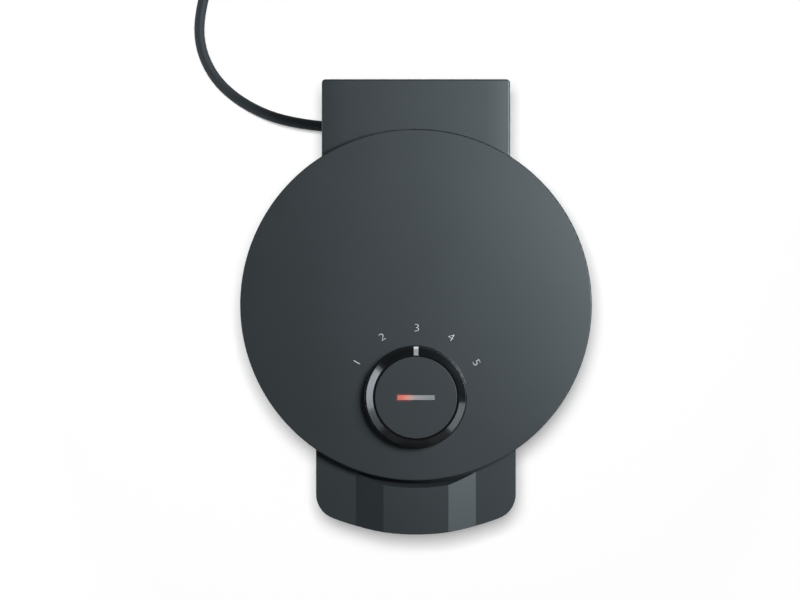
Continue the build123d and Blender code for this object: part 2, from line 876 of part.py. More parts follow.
# Strain relief: a tapered rubber sleeve in the pocket, held by a neck and a flange in the pocket's wall
relief_root_x = relief_length - block_width / 2
relief_plane = Plane(
    origin=(relief_root_x, cord_exit_y, cord_exit_z), x_dir=(-1, 0, 0), z_dir=(0, 1, 0)
)

with BuildPart() as cord_strain_relief:
    with BuildSketch(relief_plane):
        with BuildLine():
            Polyline(
                (-wall - relief_flange_length, 0),
                (-wall - relief_flange_length, relief_flange_radius),
                (-wall, relief_flange_radius),
                (-wall, relief_neck_radius),
                (0, relief_neck_radius),
                (0, relief_root_radius),
                (relief_length, relief_tip_radius),
                (relief_length, 0),
                close=True,
            )
        make_face()
    revolve(axis=Axis((relief_root_x, cord_exit_y, cord_exit_z), (1, 0, 0)))
save(cord_strain_relief, "cord_strain_relief")

# The cord's end inside the base, its clamp and the terminal block
stub_start_x = relief_root_x + wall + relief_flange_length

with BuildPart() as cord_stub:
    add(rod((stub_start_x, cord_exit_y, cord_exit_z), (stub_end_x, cord_exit_y, cord_exit_z), cord_radius))
save(cord_stub, "cord_stub")

with BuildPart() as cord_clamp:
    with BuildSketch(Plane.XY.offset(cord_exit_z + clamp_gap / 2)):
        with Locations((clamp_x, cord_exit_y)):
            RectangleRounded(clamp_length, clamp_span, clamp_corner)
    extrude(amount=clamp_height)
    with Locations(Location((clamp_x, cord_exit_y, cord_exit_z), (0, 90, 0))):
        Cylinder(cord_radius, 2 * clamp_length, mode=Mode.SUBTRACT)
    with BuildSketch(Plane.XY.offset(cord_exit_z)):
        with Locations(*clamp_places):
            Circle(clamp_screw_radius + screw_clearance)
    extrude(amount=clamp_gap + clamp_height, mode=Mode.SUBTRACT)
save(cord_clamp, "cord_clamp")

clamp_top = cord_exit_z + clamp_gap / 2 + clamp_height

with BuildPart() as cord_clamp_screws:
    with BuildSketch(Plane.XY.offset(clamp_top)):
        with Locations(*clamp_places):
            Circle(clamp_screw_head_radius)
    extrude(amount=clamp_screw_head_height)
    with BuildSketch(Plane.XY.offset(clamp_top)):
        with Locations(*clamp_places):
            Circle(clamp_screw_radius)
    extrude(amount=-clamp_screw_length)
save(cord_clamp_screws, "cord_clamp_screws")

with BuildPart() as terminal_block:
    with BuildSketch(Plane.XY.offset(base_floor)):
        with Locations((0, terminal_block_y)):
            RectangleRounded(terminal_block_length, terminal_block_width, terminal_block_corner)
    extrude(amount=terminal_block_top - base_floor)
    with BuildSketch(Plane.XY.offset(terminal_block_top)):
        with Locations((0, terminal_block_y)):
            with GridLocations(terminal_well_pitch, 1, 3, 1):
                Circle(terminal_well_radius)
    extrude(amount=-terminal_well_depth, mode=Mode.SUBTRACT)
save(terminal_block, "terminal_block")

# Wiring in the base: cord to block, block to the element, block to the sleeve that crosses the hinge
terminal_end_y = round_y + element_leg_end + terminal_length
block_back = terminal_block_y + terminal_block_width / 2
sleeve_feed_z = base_floor + 2 * bundle_radius

with BuildPart() as lower_leads:
    add(tube([
        (stub_end_x, cord_exit_y, cord_exit_z),
        (0, cord_exit_y, cord_exit_z),
        (0, block_back, cord_exit_z),
    ], bundle_radius, bundle_bend))
    add(tube([
        (0, block_back, sleeve_feed_z),
        (0, hinge_y, sleeve_feed_z),
        (0, hinge_y, sleeve_bottom),
    ], bundle_radius, bundle_bend))
    for lead_x in (-element_leg_offset, element_leg_offset):
        add(tube([
            (lead_x, terminal_end_y, element_level),
            (lead_x, terminal_block_y, element_level),
            (lead_x, terminal_block_y, terminal_block_top),
        ], lead_radius, lead_bend))
save(lower_leads, "lower_leads")

with BuildPart() as hinge_lead_sleeve:
    with BuildSketch(Plane(origin=(0, hinge_y, sleeve_bottom))):
        Circle(sleeve_radius)
    extrude(amount=sleeve_top - sleeve_bottom)
save(hinge_lead_sleeve, "hinge_lead_sleeve")

# Lid shell: a shallow drum with the hinge block behind, the faceted grip in front, and posts inside
lid_drum = turned([(0, lid_rim), (drum_radius, lid_rim), (drum_radius, lid_top), (0, lid_top)])
lid_hollow = turned([
    (0, lid_rim - wall),
    (lip_radius, lid_rim - wall),
    (lip_radius, lid_rim + wall),
    (drum_radius - wall, lid_rim + wall),
    (drum_radius - wall, lid_ceiling),
    (0, lid_ceiling),
])
lid_block = crowned_block(lid_rim, lid_top)
lid_block_room = plain_block(lid_rim + wall, lid_ceiling, wall)
hump_top = parting_height + ear_relief_radius + wall
hump_front = hinge_y - ear_relief_radius - wall
seat_clearance = turned([
    (0, lid_top),
    (seat_foot_radius, lid_top),
    (seat_top_radius + seat_slope, lid_top + 2 * grip_rise),
    (0, lid_top + 2 * grip_rise),
])
grip_room_limit = turned([
    (0, grip_bottom),
    (drum_radius - 2 * wall, grip_bottom),
    (drum_radius - 2 * wall, lid_ceiling),
    (seat_top_radius + wall, lid_ceiling),
    (seat_top_radius + wall, panel_top),
    (0, panel_top),
])
lid_window_bottom = parting_height - recess_radius - wall

with BuildPart() as lid_grip:
    add(faceted_grip(grip_bottom, 0))
    fillet(lid_grip.faces().sort_by(Axis.Z)[0].edges().group_by(Axis.Y)[0], grip_lower_edge)
    add(seat_clearance, mode=Mode.SUBTRACT)

with BuildPart() as grip_room:
    add(faceted_grip(grip_bottom + wall, wall))
    add(grip_room_limit, mode=Mode.SUBTRACT)

with BuildPart() as lid_shell:
    add(lid_drum)
    add(lid_block)
    add(lid_grip.part)
    with BuildSketch(level(lid_top)):
        Circle(disc_radius - plinth_margin)
    extrude(amount=plinth_rise)
    add(lid_hollow, mode=Mode.SUBTRACT)
    add(lid_block_room, mode=Mode.SUBTRACT)
    add(grip_room.part, mode=Mode.SUBTRACT)
    # The hinge: a hump over the ears, the barrel between them, and room for the ears to turn
    with BuildSketch(Plane.YZ.offset(wall - block_width / 2)):
        with Locations((hump_front, lid_rim)):
            Rectangle(rear_y - wall - hump_front, hump_top - lid_rim, align=corner_to_corner)
    extrude(amount=block_width - 2 * wall)
    with BuildSketch(hinge_section(-barrel_half_width)):
        Circle(barrel_radius)
    extrude(amount=2 * barrel_half_width)
    for ear_x in (-block_width, barrel_half_width):
        with BuildSketch(hinge_section(ear_x)):
            Circle(ear_relief_radius)
        extrude(amount=block_width - barrel_half_width, mode=Mode.SUBTRACT)
    with BuildSketch(hinge_section(-barrel_half_width)):
        Circle(pin_radius + pin_running_clearance)
    pin_bore = block_width / 2 - pin_length - hinge_gap
    extrude(amount=barrel_half_width - pin_bore, mode=Mode.SUBTRACT)
    with BuildSketch(hinge_section(barrel_half_width)):
        Circle(pin_radius + pin_running_clearance)
    extrude(amount=pin_bore - barrel_half_width, mode=Mode.SUBTRACT)
    # The window where the leads cross the hinge, open to the rear and up into the block
    with BuildSketch(Plane.YZ.offset(-lead_window_half_width)):
        with Locations((hinge_y - sleeve_radius - lead_slot_margin, lid_window_bottom)):
            Rectangle(
                block_width, parting_height + lead_window_top - lid_window_bottom, align=corner_to_corner
            )
    extrude(amount=2 * lead_window_half_width, mode=Mode.SUBTRACT)
    with BuildSketch(Plane.XY.offset(parting_height)):
        with Locations((0, hinge_y)):
            Rectangle(2 * (sleeve_radius + lead_slot_margin), 2 * (sleeve_radius + lead_slot_margin))
    extrude(amount=hump_top + wall - parting_height, mode=Mode.SUBTRACT)
    # Posts down to the upper plate, with screws let in from above, under the disc
    with BuildSketch(level(lid_top)):
        with PolarLocations(post_circle_radius, heart_count, start_angle=post_start):
            Circle(post_shoulder_radius)
    extrude(amount=parting_height + reflector_depth - lid_top)
    with BuildSketch(level(lid_top)):
        with PolarLocations(post_circle_radius, heart_count, start_angle=post_start):
            Circle(post_radius)
    extrude(amount=parting_height + post_joint_depth - lid_top)
    with BuildSketch(level(plinth_top)):
        with PolarLocations(post_circle_radius, heart_count, start_angle=post_start):
            Circle(screw_head_radius + screw_head_clearance)
    extrude(amount=parting_height + screw_head_depth - plinth_top, mode=Mode.SUBTRACT)
    with BuildSketch(level(plinth_top)):
        with PolarLocations(post_circle_radius, heart_count, start_angle=post_start):
            Circle(screw_radius + screw_clearance)
    extrude(amount=parting_height + post_joint_depth - plinth_top, mode=Mode.SUBTRACT)
    # Holes for the disc's pegs, the thermostat's spindle and its bracket's screws
    with BuildSketch(level(plinth_top)):
        with PolarLocations(peg_circle_radius, peg_count, start_angle=peg_start_angle):
            Circle(peg_radius + peg_clearance)
    extrude(amount=lid_ceiling - plinth_top, mode=Mode.SUBTRACT)
    with BuildSketch(Plane.XY.offset(plinth_top)):
        with Locations((0, spindle_y)):
            Circle(spindle_radius + spindle_hole_gap)
        with Locations((-bracket_screw_offset, spindle_y), (bracket_screw_offset, spindle_y)):
            Circle(bracket_screw_radius + screw_clearance)
    extrude(amount=lid_ceiling - plinth_top, mode=Mode.SUBTRACT)
    with BuildSketch(Plane.XY.offset(plinth_top)):
        with Locations((-bracket_screw_offset, spindle_y), (bracket_screw_offset, spindle_y)):
            Circle(bracket_screw_head_radius + screw_head_clearance)
    extrude(amount=-bracket_screw_head_height, mode=Mode.SUBTRACT)
save(lid_shell, "lid_shell")

# Lid disc: the round cover over the lid's screws
with BuildPart() as lid_disc:
    with BuildSketch(level(plinth_top)):
        Circle(disc_radius)
    extrude(amount=disc_thickness)
    fillet(lid_disc.edges().group_by(Axis.Z)[-1], disc_edge)
    with BuildSketch(level(plinth_top)):
        with PolarLocations(peg_circle_radius, peg_count, start_angle=peg_start_angle):
            Circle(peg_radius)
    extrude(amount=-peg_length)
    with BuildSketch(Plane.XY.offset(plinth_top)):
        with Locations((0, spindle_y)):
            Circle(spigot_radius + spigot_clearance)
    extrude(amount=disc_thickness, mode=Mode.SUBTRACT)
save(lid_disc, "lid_disc")

# The upper plate, element, clips, reflector and screws mirror the lower ones in the parting plane
with BuildPart() as upper_baking_plate:
    mirror(lower_baking_plate.part, about=parting)
save(upper_baking_plate, "upper_baking_plate")

with BuildPart() as upper_heating_element:
    mirror(lower_heating_element.part, about=parting)
save(upper_heating_element, "upper_heating_element")

with BuildPart() as upper_terminals:
    mirror(lower_terminals.part, about=parting)
save(upper_terminals, "upper_terminals")

with BuildPart() as upper_element_clips:
    mirror(lower_element_clips.part, about=parting)
save(upper_element_clips, "upper_element_clips")

with BuildPart() as upper_plate_screws:
    mirror(lower_plate_screws.part, about=parting)
save(upper_plate_screws, "upper_plate_screws")

thermostat_opening = thermostat_length + 2 * thermostat_window_gap

with BuildPart() as upper_reflector:
    mirror(lower_reflector.part, about=parting)
    with BuildSketch(Plane.XY.offset(parting_height)):
        with Locations((0, spindle_y)):
            Rectangle(thermostat_opening, thermostat_width + 2 * thermostat_window_gap)
    extrude(amount=2 * reflector_depth, mode=Mode.SUBTRACT)
save(upper_reflector, "upper_reflector")

# Thermostat: a block that hangs from the lid on a bracket, with a foot on the upper plate's back
upper_plate_back = 2 * parting_height - plate_back
bracket_underside = lid_ceiling - bracket_thickness
thermostat_bottom = bracket_underside - thermostat_height
bracket_screw_places = [(-bracket_screw_offset, spindle_y), (bracket_screw_offset, spindle_y)]

with BuildPart() as thermostat_bracket:
    with BuildSketch(Plane.XY.offset(bracket_underside)):
        with Locations((0, spindle_y)):
            RectangleRounded(bracket_length, thermostat_width, bracket_corner)
            Circle(spindle_radius + bearing_clearance, mode=Mode.SUBTRACT)
        with Locations(*bracket_screw_places):
            Circle(bracket_screw_radius + screw_bite_clearance, mode=Mode.SUBTRACT)
    extrude(amount=bracket_thickness)
save(thermostat_bracket, "thermostat_bracket")

with BuildPart() as bracket_screws:
    with BuildSketch(Plane.XY.offset(plinth_top - bracket_screw_head_height)):
        with Locations(*bracket_screw_places):
            Circle(bracket_screw_head_radius)
    extrude(amount=bracket_screw_head_height)
    with BuildSketch(Plane.XY.offset(plinth_top - bracket_screw_head_height)):
        with Locations(*bracket_screw_places):
            Circle(bracket_screw_radius)
    extrude(amount=-bracket_screw_length)
save(bracket_screws, "bracket_screws")

with BuildPart() as thermostat:
    with BuildSketch(Plane.XY.offset(thermostat_bottom)):
        with Locations((0, spindle_y)):
            RectangleRounded(thermostat_length, thermostat_width, thermostat_corner)
    extrude(amount=thermostat_height)
    with BuildSketch(Plane.XY.offset(upper_plate_back)):
        with Locations((0, spindle_y)):
            Circle(sensor_radius)
    extrude(amount=thermostat_bottom - upper_plate_back)
    with BuildSketch(Plane.XY.offset(bracket_underside)):
        with Locations((0, spindle_y)):
            Circle(spindle_radius + bearing_clearance)
    extrude(amount=-thermostat_bore_depth, mode=Mode.SUBTRACT)
save(thermostat, "thermostat")

# Spindle and pinion, which the dial's ring gear turns
pinion_bottom = disc_top + carrier_thickness + dial_gap
pinion_top = gear_top - dial_gap
spindle_end = bracket_underside - thermostat_bore_depth + dial_gap

with BuildPart() as thermostat_spindle:
    with BuildSketch(Plane.XY.offset(spindle_end)):
        with Locations((0, spindle_y)):
            Circle(spindle_radius)
    extrude(amount=pinion_bottom - spindle_end)
    with BuildSketch(Plane.XY.offset(pinion_bottom)):
        with Locations((0, spindle_y)):
            Circle(spindle_radius)
        with Locations((spindle_flat, spindle_y)):
            Rectangle(
                2 * spindle_radius, 2 * spindle_radius, align=(Align.MIN, Align.CENTER), mode=Mode.SUBTRACT
            )
    extrude(amount=pinion_top - pinion_bottom)
save(thermostat_spindle, "thermostat_spindle")

pinion_points = gear_outline(
    pinion_teeth, pinion_pitch_radius + gear_module, pinion_pitch_radius - gear_root * gear_module,
    -gear_backlash / 2,
)
ring_points = gear_outline(
    ring_teeth, ring_pitch_radius + gear_root * gear_module, ring_pitch_radius - ring_tip * gear_module,
    gear_backlash / 2,
)

with BuildPart() as spindle_pinion:
    with BuildSketch(Plane(origin=(0, spindle_y, pinion_bottom))):
        with BuildLine(Plane.XY):
            Polyline(*pinion_points, close=True)
        make_face()
        Circle(spindle_radius + press_clearance, mode=Mode.SUBTRACT)
        with Locations((spindle_flat + press_clearance, 0)):
            Rectangle(
                spindle_radius - spindle_flat + press_clearance, 2 * spindle_radius,
                align=(Align.MIN, Align.CENTER),
            )
    extrude(amount=pinion_top - pinion_bottom)
save(spindle_pinion, "spindle_pinion")

# Dial carrier: the fixed plate under the dial, with a spigot through the disc and posts for the cap
with BuildPart() as dial_carrier:
    with BuildSketch(dial_level(disc_top)):
        Circle(carrier_radius)
    extrude(amount=carrier_thickness)
    with BuildSketch(Plane.XY.offset(plinth_top)):
        with Locations((0, spindle_y)):
            Circle(spigot_radius)
    extrude(amount=disc_thickness)
    with BuildSketch(dial_level(disc_top)):
        for post_angle in carrier_post_angles:
            with PolarLocations(carrier_post_circle, 1, start_angle=post_angle):
                Circle(carrier_post_radius)
    extrude(amount=cap_underside - disc_top)
    with BuildSketch(dial_level(disc_top)):
        with Locations((0, lamp_post_offset)):
            Circle(lamp_post_radius)
    extrude(amount=lamp_board_bottom - disc_top)
    with BuildSketch(Plane.XY.offset(plinth_top)):
        with Locations((0, spindle_y)):
            Circle(spindle_radius + bearing_clearance)
    extrude(amount=disc_thickness + carrier_thickness, mode=Mode.SUBTRACT)
save(dial_carrier, "dial_carrier")

with BuildPart() as lamp_board:
    with BuildSketch(dial_level(lamp_board_bottom)):
        Rectangle(lamp_board_length, lamp_board_width)
    extrude(amount=lamp_board_thickness)
save(lamp_board, "lamp_board")

with BuildPart() as indicator_lamps:
    with BuildSketch(dial_level(lamp_board_bottom + lamp_board_thickness)):
        with GridLocations(lamp_spacing, 1, 2, 1):
            Circle(lamp_radius)
    extrude(amount=lamp_height)
save(indicator_lamps, "indicator_lamps")

# Dial cap: the fixed middle of the dial, with a slot for the indicator window
with BuildPart() as dial_cap:
    with BuildSketch(dial_level(cap_underside)):
        Circle(cap_radius)
    extrude(amount=cap_thickness)
    fillet(dial_cap.edges().group_by(Axis.Z)[-1], cap_edge)
    with BuildSketch(dial_level(gear_top + dial_gap)):
        Circle(cap_radius)
        Circle(cap_radius - cap_skirt_width, mode=Mode.SUBTRACT)
    extrude(amount=cap_underside - gear_top - dial_gap)
    with BuildSketch(dial_level(cap_underside)):
        Rectangle(window_length, window_width)
    extrude(amount=cap_thickness, mode=Mode.SUBTRACT)
save(dial_cap, "dial_cap")

with BuildPart() as indicator_window:
    with BuildSketch(dial_level(cap_underside)):
        Rectangle(window_length, window_width)
    extrude(amount=cap_thickness)
save(indicator_window, "indicator_window")

# Dial ring: the part that turns, with a sloping band outside and a ring gear inside
with BuildPart() as dial_pointer:
    with BuildSketch(Plane.YZ.offset(-pointer_width / 2)):
        with BuildLine():
            Polyline(
                (dial_y + dial_inner_radius, ring_top + pointer_rise),
                (dial_y + dial_top_radius + pointer_rise, ring_top + pointer_rise),
                (dial_y + dial_foot_radius + pointer_rise, band_foot + pointer_rise),
                (dial_y + dial_foot_radius + pointer_rise, band_foot - pointer_depth),
                (dial_y + dial_foot_radius - pointer_depth, band_foot - pointer_depth),
                (dial_y + dial_top_radius - pointer_depth, ring_top - pointer_depth),
                (dial_y + dial_inner_radius, ring_top - pointer_depth),
                close=True,
            )
        make_face()
    extrude(amount=pointer_width)

with BuildPart() as dial_ring:
    add(turned([
        (dial_inner_radius, gear_top),
        (dial_inner_radius, ring_top),
        (dial_top_radius, ring_top),
        (dial_foot_radius, band_foot),
        (dial_foot_radius, ring_base + dial_lip_height),
        (dial_lip_radius, ring_base + dial_lip_height),
        (dial_lip_radius, ring_base),
        (ring_pitch_radius - ring_tip * gear_module, ring_base),
        (ring_pitch_radius - ring_tip * gear_module, gear_top),
    ], dial_side, dial_axis))
    with BuildSketch(dial_level(ring_base)):
        with BuildLine(Plane.XY):
            Polyline(*ring_points, close=True)
        make_face()
    extrude(amount=gear_height, mode=Mode.SUBTRACT)
    add(dial_pointer.part, mode=Mode.SUBTRACT)
save(dial_ring, "dial_ring")
save(dial_pointer, "dial_pointer")

# Wiring in the lid: sleeve to thermostat, thermostat to element, element back to the sleeve
lead_level = parting_height + reflector_depth + lead_height
lead_start_x = sleeve_radius / 2
upper_element_level = 2 * parting_height - element_level
lead_drop_y = terminal_end_y + 2 * lead_bend + lead_radius
thermostat_side = thermostat_length / 2
lead_lane_x = thermostat_side + 2 * lead_bend + lead_radius

with BuildPart() as upper_leads:
    add(tube([
        (lead_start_x, hinge_y, sleeve_top),
        (lead_start_x, hinge_y, lead_level),
        (element_leg_offset, lead_drop_y + lead_bend, lead_level),
        (element_leg_offset, lead_drop_y, upper_element_level),
        (element_leg_offset, terminal_end_y, upper_element_level),
    ], lead_radius, lead_bend / 2))
    add(tube([
        (-lead_start_x, hinge_y, sleeve_top),
        (-lead_start_x, hinge_y, lead_level),
        (-lead_lane_x, lead_drop_y, lead_level),
        (-lead_lane_x, spindle_y, lead_level),
        (-thermostat_side, spindle_y, lead_level),
    ], lead_radius, lead_bend / 2))
    add(tube([
        (-element_leg_offset, terminal_end_y, upper_element_level),
        (-element_leg_offset, lead_drop_y, upper_element_level),
        (-element_leg_offset, lead_drop_y, lead_level),
        (0, lead_drop_y - lead_bend, lead_level),
        (lead_lane_x, round_y + post_circle_radius, lead_level),
        (lead_lane_x, spindle_y, lead_level),
        (thermostat_side, spindle_y, lead_level),
    ], lead_radius, lead_bend / 2))
save(upper_leads, "upper_leads")

# The mains cord: along the surface from the strain relief to the coil
cord_points = [Vector(*point) for point in cord_route]
cord_runs = [after - before for before, after in zip(cord_points, cord_points[1:])]
cord_bends = []
for before, after in zip(cord_runs, cord_runs[1:]):
    half_turn = radians(before.get_angle(after) / 2)
    cord_bends.append(cord_arc_share * min(before.length, after.length) / tan(half_turn))
print("cord arc radii", [round(bend, 1) for bend in cord_bends])

coil_outer_turn = coil_turn_radius + cord_radius
coil_half = 2 * cord_radius + coil_slack / 2
coil_x = cord_route[-1][0] + coil_outer_turn
coil_y = cord_route[-1][1]
coil_plane = Plane(origin=(coil_x, coil_y, coil_half), x_dir=(1, 0, 0), z_dir=(0, -1, 0))
coil_axis = Axis((coil_x, coil_y, 0), (0, 0, 1))
exit_heading = Vector(sin(radians(coil_exit_angle)), -cos(radians(coil_exit_angle)), 0)
exit_side = Vector(cos(radians(coil_exit_angle)), sin(radians(coil_exit_angle)), 0)
coil_exit = Vector(coil_x, coil_y, 3 * cord_radius) + exit_side * coil_outer_turn
tail_end = coil_exit + exit_heading * plug_tail_run
tail_end.Z = plug_tail_height

with BuildPart() as mains_cord:
    add(tube(cord_route, cord_radius, cord_bends))
    add(rod(coil_exit, tail_end, cord_radius))
save(mains_cord, "mains_cord")

# The coil: four turns as one closed ring of their outer shape, held by a band
with BuildPart() as coil_tie:
    with BuildSketch(coil_plane):
        with Locations((coil_turn_radius, 0)):
            Rectangle(2 * coil_half, 2 * coil_half)
            Rectangle(
                2 * coil_half - 2 * coil_tie_thickness, 2 * coil_half - 2 * coil_tie_thickness,
                mode=Mode.SUBTRACT,
            )
    revolve(axis=coil_axis, revolution_arc=coil_tie_span)
coil_tie.part = coil_tie.part.rotate(coil_axis, coil_tie_angle)

with BuildPart() as mains_cord_coil:
    with BuildSketch(coil_plane):
        with Locations((coil_turn_radius, 0)):
            RectangleRounded(2 * coil_half, 2 * coil_half, cord_radius)
    revolve(axis=coil_axis)
    add(coil_tie.part, mode=Mode.SUBTRACT)
save(mains_cord_coil, "mains_cord_coil")
save(coil_tie, "coil_tie")

# The plug, lying on the rim of its flange
plug_rim = hypot(plug_face_radius, plug_shoulder_length)
plug_tilt = atan2(plug_face_radius, plug_shoulder_length) - asin(plug_tail_height / plug_rim)
plug_heading = exit_heading * cos(plug_tilt) + Vector(0, 0, sin(plug_tilt))
plug_plane = Plane(origin=tail_end, x_dir=exit_side, z_dir=exit_side.cross(plug_heading))
plug_axis = Axis(tail_end, plug_heading)
pin_root = Plane(
    origin=tail_end + plug_heading * (plug_length - plug_pin_root), x_dir=exit_side, z_dir=plug_heading
)

with BuildPart() as plug_pins:
    with BuildSketch(pin_root):
        with GridLocations(plug_pin_spacing, 1, 2, 1):
            Circle(plug_pin_radius)
    extrude(amount=plug_pin_root + plug_pin_length)

with BuildPart() as plug_body:
    with BuildSketch(plug_plane):
        with BuildLine():
            Polyline(
                (0, 0),
                (plug_relief_radius, 0),
                (plug_neck_radius, plug_relief_length),
                (plug_waist_radius, plug_waist_length),
                (plug_shoulder_radius, plug_shoulder_length),
                (plug_face_radius, plug_shoulder_length),
                (plug_face_radius, plug_length),
                (0, plug_length),
                close=True,
            )
        make_face()
    revolve(axis=plug_axis)
    with BuildSketch(pin_root.offset(plug_pin_root)):
        with GridLocations(1, 2 * plug_face_radius, 1, 2):
            Rectangle(plug_slot_width, 2 * plug_slot_depth)
    extrude(amount=plug_shoulder_length - plug_length, mode=Mode.SUBTRACT)
    add(plug_pins.part, mode=Mode.SUBTRACT)
save(plug_body, "plug_body")
save(plug_pins, "plug_pins")
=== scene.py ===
# %% [markdown]
# # A heart waffle maker, dressed for its portrait
# The solids of the appliance come in ready made, each piece in its place. This lesson gives them their
# materials, adds what solids leave out, such as the cord's true line and the printed numbers, and sets up
# the light and the camera. Everything is in metres: X to the right, Y to the rear and Z up.

# %% Load the frame and keep its box
import json
import math

import bmesh
import bpy
from mathutils import Matrix, Vector


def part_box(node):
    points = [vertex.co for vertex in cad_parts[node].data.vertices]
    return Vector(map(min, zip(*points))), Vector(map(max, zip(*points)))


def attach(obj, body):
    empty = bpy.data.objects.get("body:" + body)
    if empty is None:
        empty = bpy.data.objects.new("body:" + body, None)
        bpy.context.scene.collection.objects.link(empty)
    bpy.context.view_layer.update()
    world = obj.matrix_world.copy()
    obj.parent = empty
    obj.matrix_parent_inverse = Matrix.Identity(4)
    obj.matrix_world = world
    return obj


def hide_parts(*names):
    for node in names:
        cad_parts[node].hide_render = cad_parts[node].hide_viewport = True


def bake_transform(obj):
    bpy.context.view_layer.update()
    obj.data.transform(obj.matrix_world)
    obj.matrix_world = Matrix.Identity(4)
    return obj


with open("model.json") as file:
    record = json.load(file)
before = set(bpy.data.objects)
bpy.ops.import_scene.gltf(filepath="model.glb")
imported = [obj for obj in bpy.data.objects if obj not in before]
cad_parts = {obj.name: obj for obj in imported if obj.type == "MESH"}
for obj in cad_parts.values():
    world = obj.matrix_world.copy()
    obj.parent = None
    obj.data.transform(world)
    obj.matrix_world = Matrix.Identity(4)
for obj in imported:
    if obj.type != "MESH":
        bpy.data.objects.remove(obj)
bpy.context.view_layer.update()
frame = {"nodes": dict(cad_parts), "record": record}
nodes = frame["nodes"]
scene = bpy.context.scene
MM = 0.001


def in_mm(value, digits=1):
    """A length in millimetres, rounded for a print."""
    return round(value / MM, digits)


print("pieces loaded:", len(nodes))

# %% [markdown]
# ## The camera
# The photograph looks straight down on the lid. Eight hundred pixels span half a metre at the height of the
# round disc, and the cord at the surface looks only a little smaller, so the camera stands far back with a
# long lens. The lens follows from the distance: sensor width times distance over the width seen.

# %% Camera, straight above the disc
disc_low, disc_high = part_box("lid_disc")
disc_middle = (disc_low + disc_high) / 2
view_width = 0.5
view_distance = 1.4
view_aside = Vector((-0.010, 0.003))

scene.view_settings.view_transform = "Standard"
camera_data = bpy.data.cameras.new("camera")
camera_data.sensor_width = 36
camera_data.lens = camera_data.sensor_width * view_distance / view_width
camera_data.clip_start = 0.01
camera = bpy.data.objects.new("camera", camera_data)
camera.location = (disc_middle.x + view_aside.x, disc_middle.y + view_aside.y, disc_high.z + view_distance)
scene.collection.objects.link(camera)
scene.camera = camera
print("lens", round(camera_data.lens, 1), "mm, camera height", round(camera.location.z, 3), "m")

# %% [markdown]
# ## The cord
# A real cord is one smooth line of a fixed length. A NURBS spline with a few control points along the route
# gives that: it leaves the strain relief, sinks to the surface, sweeps round and then lies in a small tied
# coil. A quadratic NURBS runs a little inside its control points, so the coil's points stand out by the
# cosine of half a step to keep the turns at their true radius. The route is written in millimetres.

# %% Route of the cord, from the housing to the coil and the plug
cord_radius = 3.4 * MM
exit_y, exit_z = 118.0, 20.0
lower_level, upper_level = 3.4, 10.2
cord_route = [
    (-59.15, exit_y, exit_z),
    (-84.0, 120.5, 17.5),
    (-113.0, 133.0, 6.0),
    (-134.0, 151.0, 3.6),
    (-144.5, 176.0, lower_level),
    (-141.5, 204.0, lower_level),
    (-131.2, 230.0, lower_level),
]
cord_tail = [(-60.4, 284.2, upper_level), (-51.5, 275.0, 8.6), (-40.9, 264.1, 6.0)]

coil_x, coil_y = -88.6, 256.0
outer_turn, inner_turn = 39.4, 32.6
steps_per_turn = 16
easing_steps = 3
step_angle = 2 * math.pi / steps_per_turn
coil_stages = [
    (steps_per_turn, outer_turn, lower_level),
    (steps_per_turn, inner_turn, lower_level),
    (steps_per_turn, inner_turn, upper_level),
    (6, outer_turn, upper_level),
]


def coil_points():
    """Control points of the turns, clockwise seen from above, each easing into the next."""
    points = []
    angle = math.pi
    last_radius, last_height = outer_turn, lower_level
    for count, radius, height in coil_stages:
        for number in range(count):
            share = min(1.0, (number + 1) / easing_steps) if points else 1.0
            stand = last_radius + (radius - last_radius) * share
            rise = last_height + (height - last_height) * share
            reach = stand / math.cos(step_angle / 2)
            points.append((coil_x + reach * math.cos(angle), coil_y + reach * math.sin(angle), rise))
            angle -= step_angle
        last_radius, last_height = radius, height
    return points


cord_points = cord_route + coil_points() + cord_tail
print("control points of the cord:", len(cord_points))

# %% The cord as one round, smooth line
cord_curve = bpy.data.curves.new("cord", "CURVE")
cord_curve.dimensions = "3D"
cord_curve.bevel_depth = cord_radius
cord_curve.bevel_resolution = 6
cord_curve.resolution_u = 6
cord_curve.use_fill_caps = True
spline = cord_curve.splines.new("NURBS")
spline.points.add(len(cord_points) - 1)
for point, (x, y, z) in zip(spline.points, cord_points):
    point.co = (x * MM, y * MM, z * MM, 1)
spline.order_u = 3
spline.use_endpoint_u = True
cord = bpy.data.objects.new("cord", cord_curve)
scene.collection.objects.link(cord)
print("length of the cord:", in_mm(spline.calc_length(), 0), "mm")

# %% [markdown]
# ## Building with nodes
# Light, surfaces and small pieces are all built from nodes here, because nodes can be read and changed later
# in Blender's own editors. Placing nodes and linking them takes many lines, so a few helpers come first.
# One of them places a node and fills its inputs, where an input takes a plain value or another node.

# %% Helpers that place nodes and fill their inputs
def feed(node, inputs):
    """Gives each input of a node a plain value, an output, or the first output of another node."""
    for name, value in inputs.items():
        if isinstance(value, bpy.types.Node):
            value = value.outputs[0]
        if isinstance(value, bpy.types.NodeSocket):
            node.id_data.links.new(value, node.inputs[name])
        else:
            node.inputs[name].default_value = value


def place(tree, kind, inputs=None, **settings):
    """Adds a node to a tree, with its settings first and then its inputs."""
    node = tree.nodes.new(kind)
    for name, value in settings.items():
        setattr(node, name, value)
    feed(node, inputs or {})
    return node


def compute(tree, operation, *values):
    """A Math node that works on these values in their order."""
    return place(tree, "ShaderNodeMath", dict(enumerate(values)), operation=operation)


def compute_vector(tree, operation, *values):
    """A Vector Math node that works on these values in their order."""
    return place(tree, "ShaderNodeVectorMath", dict(enumerate(values)), operation=operation)


print("helpers for nodes ready")

